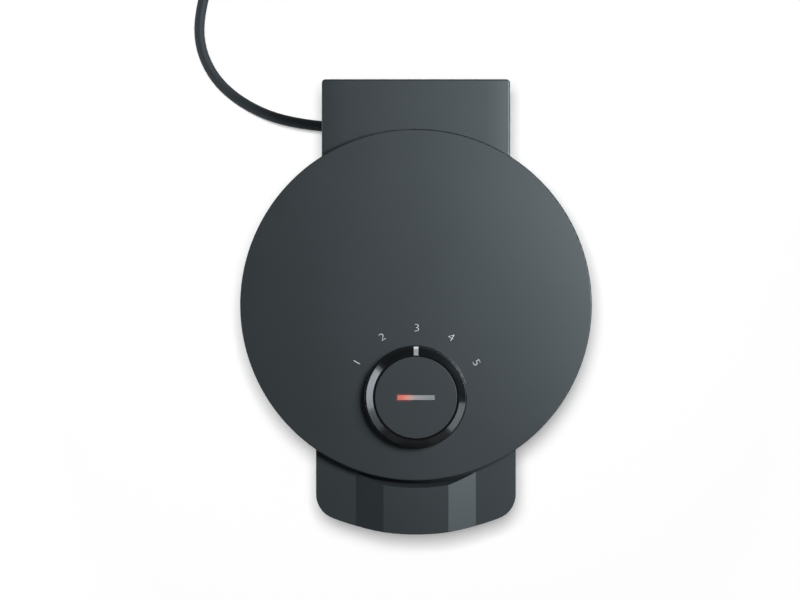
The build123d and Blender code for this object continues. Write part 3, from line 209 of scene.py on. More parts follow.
# %% Helpers for colours and materials
def rescale(tree, value, span, to=(0.0, 1.0), **settings):
    """Takes a value from one span to another, and holds it at the ends."""
    inputs = {"Value": value, "From Min": span[0], "From Max": span[1], "To Min": to[0], "To Max": to[1]}
    return place(tree, "ShaderNodeMapRange", inputs, **settings)


def mix_colours(tree, share, first, second):
    """The first colour where the share is nought, and the second where it is one."""
    inputs = {"Factor": share, "A": first, "B": second}
    return place(tree, "ShaderNodeMix", inputs, data_type="RGBA").outputs["Result"]


def ramp(tree, value, stops):
    """A colour that runs through stops, each a position with its colour."""
    node = place(tree, "ShaderNodeValToRGB", {"Fac": value})
    elements = node.color_ramp.elements
    for number, (position, colour) in enumerate(stops):
        stop = elements[number] if number < 2 else elements.new(position)
        stop.position = position
        stop.color = (*colour, 1)
    return node.outputs["Color"]


def object_place(tree):
    """Object coordinates, which stay with a piece wherever it moves."""
    return place(tree, "ShaderNodeTexCoord").outputs["Object"]


def along_axis(tree, axis):
    """How far a point of the piece lies along X, Y or Z."""
    return place(tree, "ShaderNodeSeparateXYZ", {"Vector": object_place(tree)}).outputs[axis]


def new_material(name):
    """A material that uses nodes, with its tree and its shader."""
    material = bpy.data.materials.new(name)
    material.use_nodes = True
    return material, material.node_tree, material.node_tree.nodes["Principled BSDF"]


print("helpers for colours ready")

# %% [markdown]
# ## Light
# The appliance was photographed in a soft studio. A dome stands for its walls. It's brightest some way above
# the horizon and dark overhead, because the flat lid mirrors what hangs straight above it. Plain white is
# mixed in where the camera looks past everything, so the background is white without adding any light.

# %% Studio dome
dome_levels = [(0.0, 0.03), (0.14, 0.05), (0.30, 0.28), (0.55, 0.165), (0.80, 0.04)]
plain_white = (1.0, 1.0, 1.0)
solid_white = (*plain_white, 1)


def white_for_camera(tree):
    """One where the camera looks, straight or through glass, and nought for the light itself."""
    path = place(tree, "ShaderNodeLightPath").outputs
    return compute(tree, "MAXIMUM", path["Is Camera Ray"], path["Is Transmission Ray"])


world = bpy.data.worlds.new("dome")
world.use_nodes = True
scene.world = world
tree = world.node_tree
direction = place(tree, "ShaderNodeTexCoord").outputs["Generated"]
upwards = place(tree, "ShaderNodeSeparateXYZ", {"Vector": direction}).outputs["Z"]
dome_light = ramp(tree, upwards, [(height, (level, level, level)) for height, level in dome_levels])
feed(tree.nodes["Background"], {
    "Color": mix_colours(tree, white_for_camera(tree), dome_light, solid_white), "Strength": 1.0,
})
print("levels in the dome:", len(dome_levels))

# %% [markdown]
# A lamp near on the right gives the dark plastic its slow shift from dark on the left to light on the
# right. Three upright panels are there for the dial, whose glossy band mirrors them as bright stretches. The
# last lamp hangs over the table and lights it from above.

# %% Lamps, each with its place, its width and height, and its power
lamp_settings = [
    ("key lamp", (0.44, 0.184, 0.665), (0.34, 0.34), 6.7),
    ("left panel", (-1.10, 0.112, 0.12), (1.04, 0.26), 2.3),
    ("wide left panel", (-1.12, -0.10, 0.12), (2.00, 0.26), 2.35),
    ("front panel", (0.668, -0.397, 0.09), (0.50, 0.20), 0.42),
    ("table lamp", (-0.028, 0.098, 1.6), (0.26, 0.26), 21.4),
]
lamp_aim = Vector((0, 0, 0.09))
cool_white = (0.91, 0.96, 1.0)

for name, location, size, power in lamp_settings:
    lamp_data = bpy.data.lights.new(name, "AREA")
    lamp_data.shape = "RECTANGLE"
    lamp_data.size, lamp_data.size_y = size
    lamp_data.energy = power
    lamp_data.color = cool_white if "panel" in name else plain_white
    lamp = bpy.data.objects.new(name, lamp_data)
    lamp.location = location
    lamp.rotation_euler = (lamp_aim - Vector(location)).to_track_quat("-Z", "Y").to_euler()
    lamp.visible_camera = False
    scene.collection.objects.link(lamp)
print("lamps:", [name for name, *_ in lamp_settings])

# %% [markdown]
# The table is white. Camera rays see a little extra white on it, more of it further out where its lamp
# fades, so it stays white while its soft shadows still show. Mirrored rays see it dark far out, because the
# dial's band mirrors the horizon there, and the studio's walls are dark at the foot.

# %% Table
table_reach = 3.0
table_white = (0.90, 0.90, 0.90, 1)
glow_span, glow_levels = (0.25, 1.60), (0.19, 0.82)
mirror_span, mirror_levels = (0.45, 1.0), (0.6, 0.04)

table_mesh = bpy.data.meshes.new("table")
corners = [(-1, -1), (1, -1), (1, 1), (-1, 1)]
table_mesh.from_pydata([(x * table_reach, y * table_reach, 0) for x, y in corners], [], [(0, 1, 2, 3)])
table = bpy.data.objects.new("table", table_mesh)
scene.collection.objects.link(table)

table_material, tree, shader = new_material("table_white")
distance = compute_vector(tree, "LENGTH", object_place(tree)).outputs["Value"]
in_mirror = place(tree, "ShaderNodeLightPath").outputs["Is Glossy Ray"]
far_dark = rescale(tree, distance, mirror_span, mirror_levels)
far_glow = rescale(tree, distance, glow_span, glow_levels)
feed(shader, {
    "Base Color": mix_colours(tree, in_mirror, table_white, far_dark),
    "Roughness": 0.9,
    "Specular IOR Level": 0.0,
    "Emission Color": solid_white,
    "Emission Strength": compute(tree, "MULTIPLY", white_for_camera(tree), far_glow),
})
table_mesh.materials.append(table_material)
print("table", 2 * table_reach, "m wide")

# %% [markdown]
# A table under the same lamps as the dark plastic would be grey on one side and glaring on the other. Light
# linking avoids that: one lamp lights the table alone, and the other lamps leave the table to it.

# %% Light linking
def link_light(lamp, state):
    """Gives a lamp the table as its only receiver, or takes the table out of what it lights."""
    receivers = bpy.data.collections.new("lit by " + lamp.name)
    receivers.objects.link(table)
    receivers.collection_objects[0].light_linking.link_state = state
    lamp.light_linking.receiver_collection = receivers


for name, *_ in lamp_settings:
    link_light(bpy.data.objects[name], "INCLUDE" if name == "table lamp" else "EXCLUDE")
print("the table lamp lights the table alone")

# %% [markdown]
# ## Effects that the finishes share
# Moulded plastic, cast metal and rubber all have a fine grain and a slow, faint change over the surface
# where hands and air have touched them. Both effects are node groups with named inputs, so that every
# finish places the same group with its own values. They read Object coordinates, so a pattern stays on its
# piece when the lid turns.

# %% Node group: fine grain and slow patches
def new_group(name, inputs, outputs):
    """A shader node group with float inputs and outputs: the group, its inputs and its last node."""
    group = bpy.data.node_groups.new(name, "ShaderNodeTree")
    for label, value in inputs.items():
        socket = group.interface.new_socket(label, in_out="INPUT", socket_type="NodeSocketFloat")
        socket.default_value = value
    for label in outputs:
        group.interface.new_socket(label, in_out="OUTPUT", socket_type="NodeSocketFloat")
    return group, group.nodes.new("NodeGroupInput").outputs, group.nodes.new("NodeGroupOutput")


surface_grain, size, made = new_group(
    "surface grain", {"Grain per metre": 1500.0, "Patches per metre": 18.0}, ["Grain", "Patches"]
)
coordinates = object_place(surface_grain)
for label, detail, roughness in (("Grain", 3.0, 0.6), ("Patches", 2.0, 0.45)):
    noise = place(surface_grain, "ShaderNodeTexNoise", {
        "Vector": coordinates, "Scale": size[label + " per metre"], "Detail": detail, "Roughness": roughness,
    })
    feed(made, {label: noise.outputs["Fac"]})
print("group:", surface_grain.name)

# %% [markdown]
# Drawn and ground metal carries fine lines along one direction. Stretching a noise pattern does that: the
# coordinates are multiplied by a small number along the lines and a large one across them.

# %% Node group: drawn lines
drawn_lines, size, made = new_group(
    "drawn lines", {"Along X": 40.0, "Along Y": 1600.0, "Along Z": 1600.0}, ["Lines"]
)
stretch = place(drawn_lines, "ShaderNodeCombineXYZ", {axis: size["Along " + axis] for axis in "XYZ"})
stretched = compute_vector(drawn_lines, "MULTIPLY", object_place(drawn_lines), stretch)
lines = place(drawn_lines, "ShaderNodeTexNoise", {
    "Vector": stretched, "Scale": 1.0, "Detail": 4.0, "Roughness": 0.65,
})
feed(made, {"Lines": lines.outputs["Fac"]})
print("group:", drawn_lines.name)

# %% [markdown]
# ## The finishes
# Every finish starts the same way: two near colours mixed by the slow patches, a roughness that drifts a
# little, and a bump from the grain or from drawn lines. Plastic, rubber, coating, sheet and ceramic then
# differ in their values. What is the same all over a surface goes on the shader's own sockets.

# %% A finish from two near colours, a roughness range and a grain
finishes = {}
patch_span = (0.3, 0.7)
grain_strength = 0.4


def add_finish(slot, dark, light, roughness, grain_scale, grain_depth, name=None, metallic=0.0, coat=0.0,
               coat_roughness=0.06, patch_scale=18.0, drawn=None, sheen_level=0.5, sheen_tint=plain_white):
    """The material of one slot. Drawn is the three scales of drawn lines, which then replace the grain."""
    material, tree, shader = new_material(name or slot)
    pattern = place(tree, "ShaderNodeGroup", {
        "Grain per metre": grain_scale, "Patches per metre": patch_scale,
    }, node_tree=surface_grain).outputs
    height = pattern["Grain"]
    if drawn:
        scales = dict(zip(("Along X", "Along Y", "Along Z"), drawn))
        height = place(tree, "ShaderNodeGroup", scales, node_tree=drawn_lines).outputs["Lines"]
    feed(shader, {
        "Base Color": mix_colours(tree, pattern["Patches"], (*dark, 1), (*light, 1)),
        "Roughness": rescale(tree, pattern["Patches"], patch_span, roughness),
        "Normal": place(tree, "ShaderNodeBump", {
            "Strength": grain_strength, "Distance": grain_depth, "Height": height,
        }),
        "Metallic": metallic,
        "Specular IOR Level": sheen_level,
        "Specular Tint": (*sheen_tint, 1),
        "Coat Weight": coat,
        "Coat Roughness": coat_roughness,
    })
    finishes[slot] = material


print("ready to make finishes")

# %% [markdown]
# The housing is dark grey plastic with a satin skin that reflects a cool light. The dial's ring is the only
# glossy piece, so it gets a coat. A row gives the darker and the lighter colour, the range of roughness, the
# grains for each metre and the grain's depth.

# %% Plastics and rubbers
cool_tint = (0.79, 0.92, 1.0)
gloss_tint = (0.86, 0.95, 1.0)

add_finish("housing", (0.014, 0.018, 0.020), (0.017, 0.021, 0.023), (0.45, 0.48), 2200, 0.00002,
           name="housing_grey", sheen_level=1.0, sheen_tint=cool_tint)
add_finish("dial_cap", (0.016, 0.020, 0.022), (0.019, 0.023, 0.025), (0.54, 0.58), 2600, 0.00002,
           name="cap_grey", sheen_level=0.75, sheen_tint=cool_tint)
add_finish("dial_gloss", (0.003, 0.004, 0.005), (0.005, 0.006, 0.007), (0.16, 0.22), 900, 0.000005,
           name="dial_black", sheen_level=1.0, sheen_tint=gloss_tint, coat=0.8, coat_roughness=0.13)
add_finish("dial_edge", (0.006, 0.008, 0.009), (0.009, 0.011, 0.012), (0.32, 0.38), 1800, 0.000005,
           sheen_level=1.0, sheen_tint=gloss_tint)
add_finish("cord_sheath", (0.030, 0.038, 0.043), (0.038, 0.047, 0.052), (0.60, 0.70), 2400, 0.00003,
           sheen_tint=(0.85, 0.95, 1.0))
add_finish("foot_rubber", (0.016, 0.016, 0.017), (0.030, 0.030, 0.031), (0.70, 0.85), 3000, 0.00008)
add_finish("relief_rubber", (0.012, 0.014, 0.015), (0.020, 0.022, 0.024), (0.50, 0.62), 2800, 0.00005)
add_finish("plug_rubber", (0.013, 0.015, 0.016), (0.021, 0.023, 0.025), (0.42, 0.54), 2600, 0.00004)
add_finish("tie_band", (0.010, 0.010, 0.010), (0.018, 0.018, 0.018), (0.55, 0.65), 3000, 0.00005)
add_finish("inner_plastic", (0.030, 0.031, 0.032), (0.044, 0.045, 0.046), (0.45, 0.55), 2400, 0.00003)
add_finish("lamp_board", (0.20, 0.12, 0.04), (0.30, 0.19, 0.08), (0.45, 0.60), 1800, 0.00005)
add_finish("lamp_glass", (0.70, 0.20, 0.12), (0.85, 0.34, 0.22), (0.08, 0.16), 600, 0.00001)
add_finish("pointer_silver", (0.32, 0.33, 0.34), (0.37, 0.38, 0.39), (0.28, 0.36), 2000, 0.00001)
add_finish("number_print", (0.66, 0.68, 0.69), (0.74, 0.76, 0.77), (0.45, 0.55), 2600, 0.00001)
print("finishes so far:", len(finishes))

# %% [markdown]
# Metal differs in how it was worked. The cast plates have a dark coating. The element's steel has turned
# brown in the heat, unevenly. Sheet and springs were rolled or drawn, so they carry lines along one
# direction, and the pins were turned, so their lines run round them.

# %% Metals
add_finish("cast_plate", (0.016, 0.016, 0.018), (0.028, 0.028, 0.030), (0.28, 0.40), 1800, 0.00006,
           name="plate_coating", metallic=0.25)
add_finish("element_steel", (0.10, 0.085, 0.075), (0.24, 0.22, 0.20), (0.38, 0.55), 900, 0.00004,
           metallic=0.9, patch_scale=45)
add_finish("terminal_steel", (0.55, 0.54, 0.52), (0.66, 0.65, 0.63), (0.25, 0.35), 1500, 0.00002,
           metallic=1.0, drawn=(60, 2400, 2400))
add_finish("spring_steel", (0.42, 0.42, 0.42), (0.55, 0.55, 0.54), (0.30, 0.42), 1500, 0.00002,
           metallic=1.0, drawn=(60, 2400, 2400))
add_finish("reflector_sheet", (0.66, 0.66, 0.67), (0.80, 0.80, 0.81), (0.24, 0.36), 1200, 0.00003,
           metallic=1.0, drawn=(30, 1500, 1500))
add_finish("pin_steel", (0.50, 0.50, 0.51), (0.62, 0.62, 0.63), (0.18, 0.28), 1800, 0.00001,
           metallic=1.0, drawn=(2400, 60, 60))
add_finish("screw_steel", (0.42, 0.43, 0.45), (0.56, 0.56, 0.57), (0.28, 0.40), 1800, 0.00002, metallic=1.0)
add_finish("plug_metal", (0.58, 0.57, 0.54), (0.68, 0.67, 0.64), (0.16, 0.26), 1200, 0.00001, metallic=1.0)
print("finishes so far:", len(finishes))

# %% [markdown]
# Close to the heating elements plastic would melt, so the blocks are ceramic and the leads run in glass
# thread. Both are pale and matt, and thread has a deep grain.

# %% Ceramic and thread
add_finish("block_ceramic", (0.70, 0.67, 0.60), (0.80, 0.78, 0.72), (0.55, 0.70), 1600, 0.00006)
add_finish("thermostat_ceramic", (0.72, 0.70, 0.65), (0.84, 0.82, 0.78), (0.50, 0.65), 1600, 0.00006)
add_finish("lead_sleeving", (0.52, 0.50, 0.47), (0.66, 0.64, 0.60), (0.45, 0.60), 2600, 0.00005)
add_finish("woven_sleeve", (0.55, 0.52, 0.44), (0.74, 0.72, 0.64), (0.75, 0.90), 1800, 0.0002,
           patch_scale=300)
print("finishes so far:", len(finishes))

# %% [markdown]
# The pointer catches more light at its outer end, where the dial's slope turns down to the lip, and this is a
# painted highlight: it's one stroke of paint, so there is no second piece, and a brighter colour takes over
# along the last stretch.

# %% Painted highlight at the outer end of the pointer
pointer_low, pointer_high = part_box("dial_pointer")
highlight_start, highlight_full = 1.8 * MM, 0.9 * MM
painted_highlight_silver = (0.72, 0.73, 0.74)


def paint_over(slot, share, colour):
    """Lays a second colour over a finish's own one, as far as the share says."""
    tree = finishes[slot].node_tree
    shader = tree.nodes["Principled BSDF"]
    own_colour = shader.inputs["Base Color"].links[0].from_socket
    feed(shader, {"Base Color": mix_colours(tree, share, own_colour, (*colour, 1))})


tree = finishes["pointer_silver"].node_tree
highlight_span = (pointer_high.y - highlight_start, pointer_high.y - highlight_full)
# Painted highlight: a brighter colour laid over the pointer's outer end.
paint_over("pointer_silver", rescale(tree, along_axis(tree, "Y"), highlight_span), painted_highlight_silver)
print("pointer from y", in_mm(pointer_low.y, 2), "to", in_mm(pointer_high.y, 2), "mm")

# %% [markdown]
# The plates' coating holds fine mineral flecks, which keep it from looking like plain paint. Thousands of
# specks would be too many to model, so a cell pattern gives each cell a random value, and only the
# brightest few show.

# %% Flecks in the plates' coating
flecks_per_metre = 2300.0
fleck_span, fleck_levels = (0.91, 0.99), (0.0, 0.40)
fleck_grey = (0.16, 0.16, 0.165)

tree = finishes["cast_plate"].node_tree
cells = place(tree, "ShaderNodeTexVoronoi", {"Vector": object_place(tree), "Scale": flecks_per_metre})
cell_value = place(tree, "ShaderNodeSeparateColor", {"Color": cells.outputs["Color"]})
paint_over("cast_plate", rescale(tree, cell_value, fleck_span, fleck_levels), fleck_grey)
print("flecks in", finishes["cast_plate"].name)

# %% [markdown]
# The light bar in the dial's cap is a frosted window over two lamps. It's coral red at its left end, where
# the first lamp sits, and fades to pale grey at its right. That glow of the lamps behind it is painted in as
# a colour gradient along X, with a little noise in it so that the frosting isn't flat.

# %% Finish of the window, with the lamps' glow painted in
window_low, window_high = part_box("indicator_window")
window_painted_glow = [
    (0.03, (0.57, 0.21, 0.20)),
    (0.13, (0.75, 0.18, 0.145)),
    (0.28, (0.70, 0.31, 0.265)),
    (0.39, (0.54, 0.36, 0.34)),
    (0.60, (0.32, 0.326, 0.35)),
    (0.92, (0.245, 0.28, 0.293)),
]
frost_depth = 0.06

window_material, tree, shader = new_material("window_frosted")
along = rescale(tree, along_axis(tree, "X"), (window_low.x, window_high.x))
frost = place(tree, "ShaderNodeTexNoise", {"Vector": object_place(tree), "Scale": 1200.0, "Detail": 2.0})
mottled = compute(tree, "MULTIPLY_ADD", frost.outputs["Fac"], frost_depth, along)
# Painted glow: the base colour runs from lit red to pale grey along X.
feed(shader, {"Base Color": ramp(tree, mottled, window_painted_glow), "Roughness": 0.35})
finishes["window_plastic"] = window_material
print("window from", in_mm(window_low.x, 2), "to", in_mm(window_high.x, 2), "mm")

# %% [markdown]
# The lit end of the window throws a faint red glow on the cap beside it, and that glow is painted on the cap
# as its own emission. The distance to the lit stretch is the length of what lies beyond it on each axis, and
# the glow fades with that distance. It reads the place on the cap alone, so it stays there in every view.

# %% Painted red glow on the cap, beside the lit end of the window
glow_reach = 1.5 * MM
painted_glow_strength = 0.14
painted_glow_red = (1.0, 0.03, 0.02, 1)
lit_share = 0.34
window_middle = (window_low + window_high) / 2
lit_end = window_low.x + lit_share * (window_high.x - window_low.x)
lit_middle = Vector(((window_low.x + lit_end) / 2, window_middle.y, window_middle.z))
lit_half = Vector(((lit_end - window_low.x) / 2, (window_high.y - window_low.y) / 2, 1.0))

tree = finishes["dial_cap"].node_tree
offset = compute_vector(tree, "SUBTRACT", object_place(tree), lit_middle)
beyond = compute_vector(tree, "SUBTRACT", compute_vector(tree, "ABSOLUTE", offset), lit_half)
outside = compute_vector(tree, "MAXIMUM", beyond, (0, 0, 0))
distance = compute_vector(tree, "LENGTH", outside).outputs["Value"]
fading = rescale(tree, distance, (0.0, glow_reach), (1.0, 0.0), interpolation_type="SMOOTHERSTEP")
# Painted glow: red emission on the cap, fading away from the window's lit end.
feed(tree.nodes["Principled BSDF"], {
    "Emission Color": mix_colours(tree, fading, (0, 0, 0, 1), painted_glow_red), "Emission Strength": painted_glow_strength,
})
print("glow beside the first", round(lit_share * 100), "percent of the window")

# %% [markdown]
# ## Dressing the solids
# The solids arrive as triangles that carry the exact normals of the surfaces they came from, so they shade
# smoothly as they are and keep their crisp folds. Each one only needs the finish that its record names. The
# cord takes the place of the two plain cord solids and rides on the base.

# %% Give every solid its finish
slot_of = {part["node"]: part["material_slot"] for part in frame["record"]["subparts"]}

for node, solid in nodes.items():
    for material_slot in solid.material_slots:
        material_slot.material = finishes[slot_of[node]]
print("dressed:", len(nodes), "pieces")

# %% The cord joins the base
cord.data.materials.append(finishes["cord_sheath"])
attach(cord, "base")
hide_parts("mains_cord", "mains_cord_coil")
print("cord in place")

# %% [markdown]
# ## The numbers round the dial
# Five numbers are printed on the disc on an arc round the dial, each turned to face it. A text object gives
# their outline. It's made a thin mesh first and then put in its place, because a finished piece's object
# stays at the origin. A small helper finishes every piece in that way.

# %% Helpers that finish a piece
def add_piece(name, mesh, body, at=Matrix.Identity(4), smooth=True):
    """A finished piece: its mesh put in place, riding on a body where one is named."""
    mesh.transform(at)
    mesh.shade_smooth() if smooth else mesh.shade_flat()
    piece = bpy.data.objects.new(name, mesh)
    scene.collection.objects.link(piece)
    if body:
        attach(piece, body)
    return piece


def mesh_of(carrier):
    """The finished mesh of a carrier that is thrown away."""
    scene.collection.objects.link(carrier)
    graph = bpy.context.evaluated_depsgraph_get()
    mesh = bpy.data.meshes.new_from_object(carrier.evaluated_get(graph), depsgraph=graph)
    bpy.data.objects.remove(carrier)
    return mesh


print("helpers for pieces ready")

# %% Numbers 1 to 5
dial_low, dial_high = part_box("dial_ring")
dial_x, dial_y = (dial_low.x + dial_high.x) / 2, (dial_low.y + dial_high.y) / 2
number_circle = 43.2 * MM
number_height = 4.45 * MM
number_widening = 1.22
number_thinning = 0.022
number_shift = 0.4 * MM
number_step = math.radians(30)
print_thickness = 0.03 * MM


def printed_number(text):
    """One number as a thin mesh round the origin, of the right height and widened a little."""
    curve = bpy.data.curves.new("number", "FONT")
    curve.body = text
    curve.size = number_height
    curve.extrude = print_thickness / 2
    curve.offset = -number_thinning * number_height
    mesh = mesh_of(bpy.data.objects.new("number", curve))
    low = Vector([min(vertex.co[axis] for vertex in mesh.vertices) for axis in range(3)])
    high = Vector([max(vertex.co[axis] for vertex in mesh.vertices) for axis in range(3)])
    grow = number_height / (high.y - low.y)
    stretch = Matrix.Diagonal((grow * number_widening, grow, 1, 1))
    mesh.transform(stretch @ Matrix.Translation(-(low + high) / 2))
    return mesh


scale_middle = Matrix.Translation((dial_x + number_shift, dial_y, disc_high.z))
outwards = Matrix.Translation((0, number_circle, print_thickness / 2))
for number, text in enumerate("12345"):
    turn = Matrix.Rotation(-(number - 2) * number_step, 4, "Z")
    mesh = printed_number(text)
    mesh.materials.append(finishes["number_print"])
    at_number = scale_middle @ turn @ outwards
    add_piece("scale_number_" + text, mesh, "lid", at_number, smooth=False)
print("numbers on a circle of", in_mm(number_circle), "mm")

# %% [markdown]
# ## Small pieces that repeat
# Screws, ribs, ridges and braided threads are the same shape over and over, along a circle, a line or a
# helix. Geometry Nodes make them: each tree is a small recipe with named sizes. A helper starts a tree, and
# another one runs it on an empty carrier, takes the finished mesh and throws the carrier away.

# %% Helpers that start a Geometry Nodes tree, end it and run it once
def new_tree(name, inputs):
    """A Geometry Nodes tree, its named sizes and its end. A whole default makes a whole size."""
    tree = bpy.data.node_groups.new(name, "GeometryNodeTree")
    for in_out in ("INPUT", "OUTPUT"):
        tree.interface.new_socket("Geometry", in_out=in_out, socket_type="NodeSocketGeometry")
    for label, value in inputs.items():
        kind = "NodeSocketInt" if isinstance(value, int) else "NodeSocketFloat"
        socket = tree.interface.new_socket(label, in_out="INPUT", socket_type=kind)
        socket.default_value = value
    return tree, tree.nodes.new("NodeGroupInput").outputs, tree.nodes.new("NodeGroupOutput")


def realise(tree, shapes, material, made):
    """Ends a tree: instances become real geometry, which gets its material."""
    real = place(tree, "GeometryNodeRealizeInstances", {"Geometry": shapes})
    feed(made, {"Geometry": place(tree, "GeometryNodeSetMaterial", {"Geometry": real, "Material": material})})


def run_tree(tree, sizes, points=()):
    """The mesh that a tree makes with these sizes, and with the points that its carrier holds."""
    start = bpy.data.meshes.new(tree.name)
    start.from_pydata(points, [], [])
    carrier = bpy.data.objects.new(tree.name, start)
    modifier = carrier.modifiers.new(tree.name, "NODES")
    modifier.node_group = tree
    for item in tree.interface.items_tree:
        if item.in_out == "INPUT" and item.name in sizes:
            modifier[item.identifier] = sizes[item.name]
    return mesh_of(carrier)


print("helpers for trees ready")

# %% Helpers that more than one tree uses
def circle_of(tree, sides, radius):
    """A round curve, made of straight sides."""
    return place(tree, "GeometryNodeCurvePrimitiveCircle", {"Resolution": sides, "Radius": radius})


def tube_along(tree, curve, sides, radius, closed=False):
    """Sweeps a small circle along a curve."""
    profile = circle_of(tree, sides, radius)
    return place(tree, "GeometryNodeCurveToMesh", {
        "Curve": curve, "Profile Curve": profile, "Fill Caps": closed,
    })


def upward(tree, height):
    """A vector that points straight up."""
    return place(tree, "ShaderNodeCombineXYZ", {"Z": height})


def even_turns(tree, count):
    """Shares one full turn about Z evenly between so many copies."""
    share = compute(tree, "DIVIDE", place(tree, "GeometryNodeInputIndex"), count)
    return upward(tree, compute(tree, "MULTIPLY", share, 2 * math.pi))


def join(tree, *shapes):
    """Several shapes as one."""
    joined = place(tree, "GeometryNodeJoinGeometry")
    for shape in shapes:
        feed(joined, {"Geometry": shape})
    return joined


print("helpers for shapes ready")

# %% [markdown]
# ### Screws under the base
# Five pan-head screws hold the lower plate. On the real appliance each has a cross recess, cut when the head
# is forged. A picture of the cross would look flat from the side. So the head is a short cylinder with two
# crossed bars taken out of it, and the tree sets five of the screws on a circle.

# %% One plate screw with a cross recess, five times on a circle
bar_share = 1.25
tree, size, made = new_tree("plate screws", {
    "Count": 5, "Circle": 0.08, "Head radius": 0.004, "Head height": 0.0032,
    "Shank radius": 0.002, "Shank length": 0.022, "Slot width": 0.0011, "Slot depth": 0.0018,
})
head = place(tree, "GeometryNodeMeshCylinder", {
    "Vertices": 40, "Radius": size["Head radius"], "Depth": size["Head height"],
})
recessed = place(tree, "GeometryNodeMeshBoolean", {"Mesh 1": head}, operation="DIFFERENCE")
head_face = upward(tree, compute(tree, "MULTIPLY", size["Head height"], -0.5))
bar_length = compute(tree, "MULTIPLY", size["Head radius"], bar_share)
bar_height = compute(tree, "MULTIPLY", size["Slot depth"], 2.0)
for along, across in (("X", "Y"), ("Y", "X")):
    bar = place(tree, "GeometryNodeMeshCube", {"Size": place(tree, "ShaderNodeCombineXYZ", {
        along: bar_length, across: size["Slot width"], "Z": bar_height,
    })})
    lowered = place(tree, "GeometryNodeTransform", {"Geometry": bar, "Translation": head_face})
    feed(recessed, {"Mesh 2": lowered})
shank = place(tree, "GeometryNodeMeshCylinder", {
    "Vertices": 24, "Radius": size["Shank radius"], "Depth": size["Shank length"],
})
both_heights = compute(tree, "ADD", size["Head height"], size["Shank length"])
shank_middle = upward(tree, compute(tree, "MULTIPLY", both_heights, 0.5))
raised = place(tree, "GeometryNodeTransform", {"Geometry": shank, "Translation": shank_middle})
ring = place(tree, "GeometryNodeMeshCircle", {"Vertices": size["Count"], "Radius": size["Circle"]})
spread = place(tree, "GeometryNodeInstanceOnPoints", {
    "Points": ring, "Instance": join(tree, raised, recessed),
})
realise(tree, spread, finishes["screw_steel"], made)
print("tree:", tree.name)

# %% Screws in place of the plain ones
screws_low, screws_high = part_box("lower_plate_screws")
head_radius, head_height = 4.0 * MM, 3.2 * MM
screw_circle = screws_high.y - head_radius - disc_middle.y
mesh = run_tree(tree, {
    "Circle": screw_circle, "Head radius": head_radius, "Head height": head_height,
    "Shank length": screws_high.z - screws_low.z - head_height,
})
at_heads = Matrix.Translation((disc_middle.x, disc_middle.y, screws_low.z + head_height / 2))
at_heads = at_heads @ Matrix.Rotation(math.pi / 2, 4, "Z")
screws = add_piece("plate_screws_recessed", mesh, "base", at_heads, smooth=False)
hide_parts("lower_plate_screws")
print("screws:", len(mesh.polygons), "faces on a circle of", in_mm(screw_circle), "mm")

# %% [markdown]
# ### Rubber feet
# Each foot is a short tapering plug of rubber that stands on two moulded rings, so that it grips and doesn't
# suck itself to the worktop. The tree makes one foot and sets it on every point that its carrier holds. The
# four points are the middles of the plain feet in the solids, so the feet stay where they were.

# %% Where the feet stand
def middle(values):
    """Half way between the smallest and the largest of some values."""
    values = list(values)
    return (min(values) + max(values)) / 2


foot_corners = [vertex.co for vertex in nodes["rubber_feet"].data.vertices]
foot_places = []
for left, front in ((True, True), (False, True), (True, False), (False, False)):
    corners = [corner for corner in foot_corners if (corner.x < 0) == left and (corner.y < 0) == front]
    foot_places.append((middle(corner.x for corner in corners), middle(corner.y for corner in corners), 0.0))
feet_low, feet_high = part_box("rubber_feet")
foot_radius = (feet_high.x - feet_low.x) / 2 - max(x for x, _, _ in foot_places)
print("feet of radius", in_mm(foot_radius, 2), "mm at", [(in_mm(x), in_mm(y)) for x, y, _ in foot_places])

# %% Feet with two rings
tree, size, made = new_tree("ringed feet", {
    "Top radius": 0.008, "Bottom radius": 0.0071, "Body height": 0.0075, "Outer ring": 0.0062,
    "Inner ring": 0.0036, "Wire": 0.0005,
})
foot_body = place(tree, "GeometryNodeMeshCone", {
    "Vertices": 40, "Radius Top": size["Top radius"], "Radius Bottom": size["Bottom radius"],
    "Depth": size["Body height"],
})
rings = [
    tube_along(tree, circle_of(tree, 40, size[label]), 8, size["Wire"])
    for label in ("Outer ring", "Inner ring")
]
foot = place(tree, "GeometryNodeTransform", {
    "Geometry": join(tree, foot_body, *rings), "Translation": upward(tree, size["Wire"]),
})
spread = place(tree, "GeometryNodeInstanceOnPoints", {"Points": size["Geometry"], "Instance": foot})
realise(tree, spread, finishes["foot_rubber"], made)

foot_taper, foot_wire = 0.9 * MM, 0.5 * MM
mesh = run_tree(tree, {
    "Top radius": foot_radius, "Bottom radius": foot_radius - foot_taper,
    "Body height": feet_high.z - foot_wire, "Wire": foot_wire,
}, foot_places)
feet = add_piece("ringed_feet", mesh, "base", smooth=False)
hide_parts("rubber_feet")
print("feet:", len(mesh.polygons), "faces")

# %% [markdown]
# ### Ribs on the strain relief
# A moulded strain relief has rings along its taper, so that it bends a little more at each. The tree sets a
# circle on every point of a line, makes each a little wider than the last, and turns them into rings only
# then, so that the rings' thickness stays the same.

# %% Rings along the strain relief
def frame_at(origin, direction):
    """The matrix that takes local Z to a direction, with its origin at a point."""
    return Matrix.Translation(origin) @ Vector(direction).to_track_quat("Z", "Y").to_matrix().to_4x4()


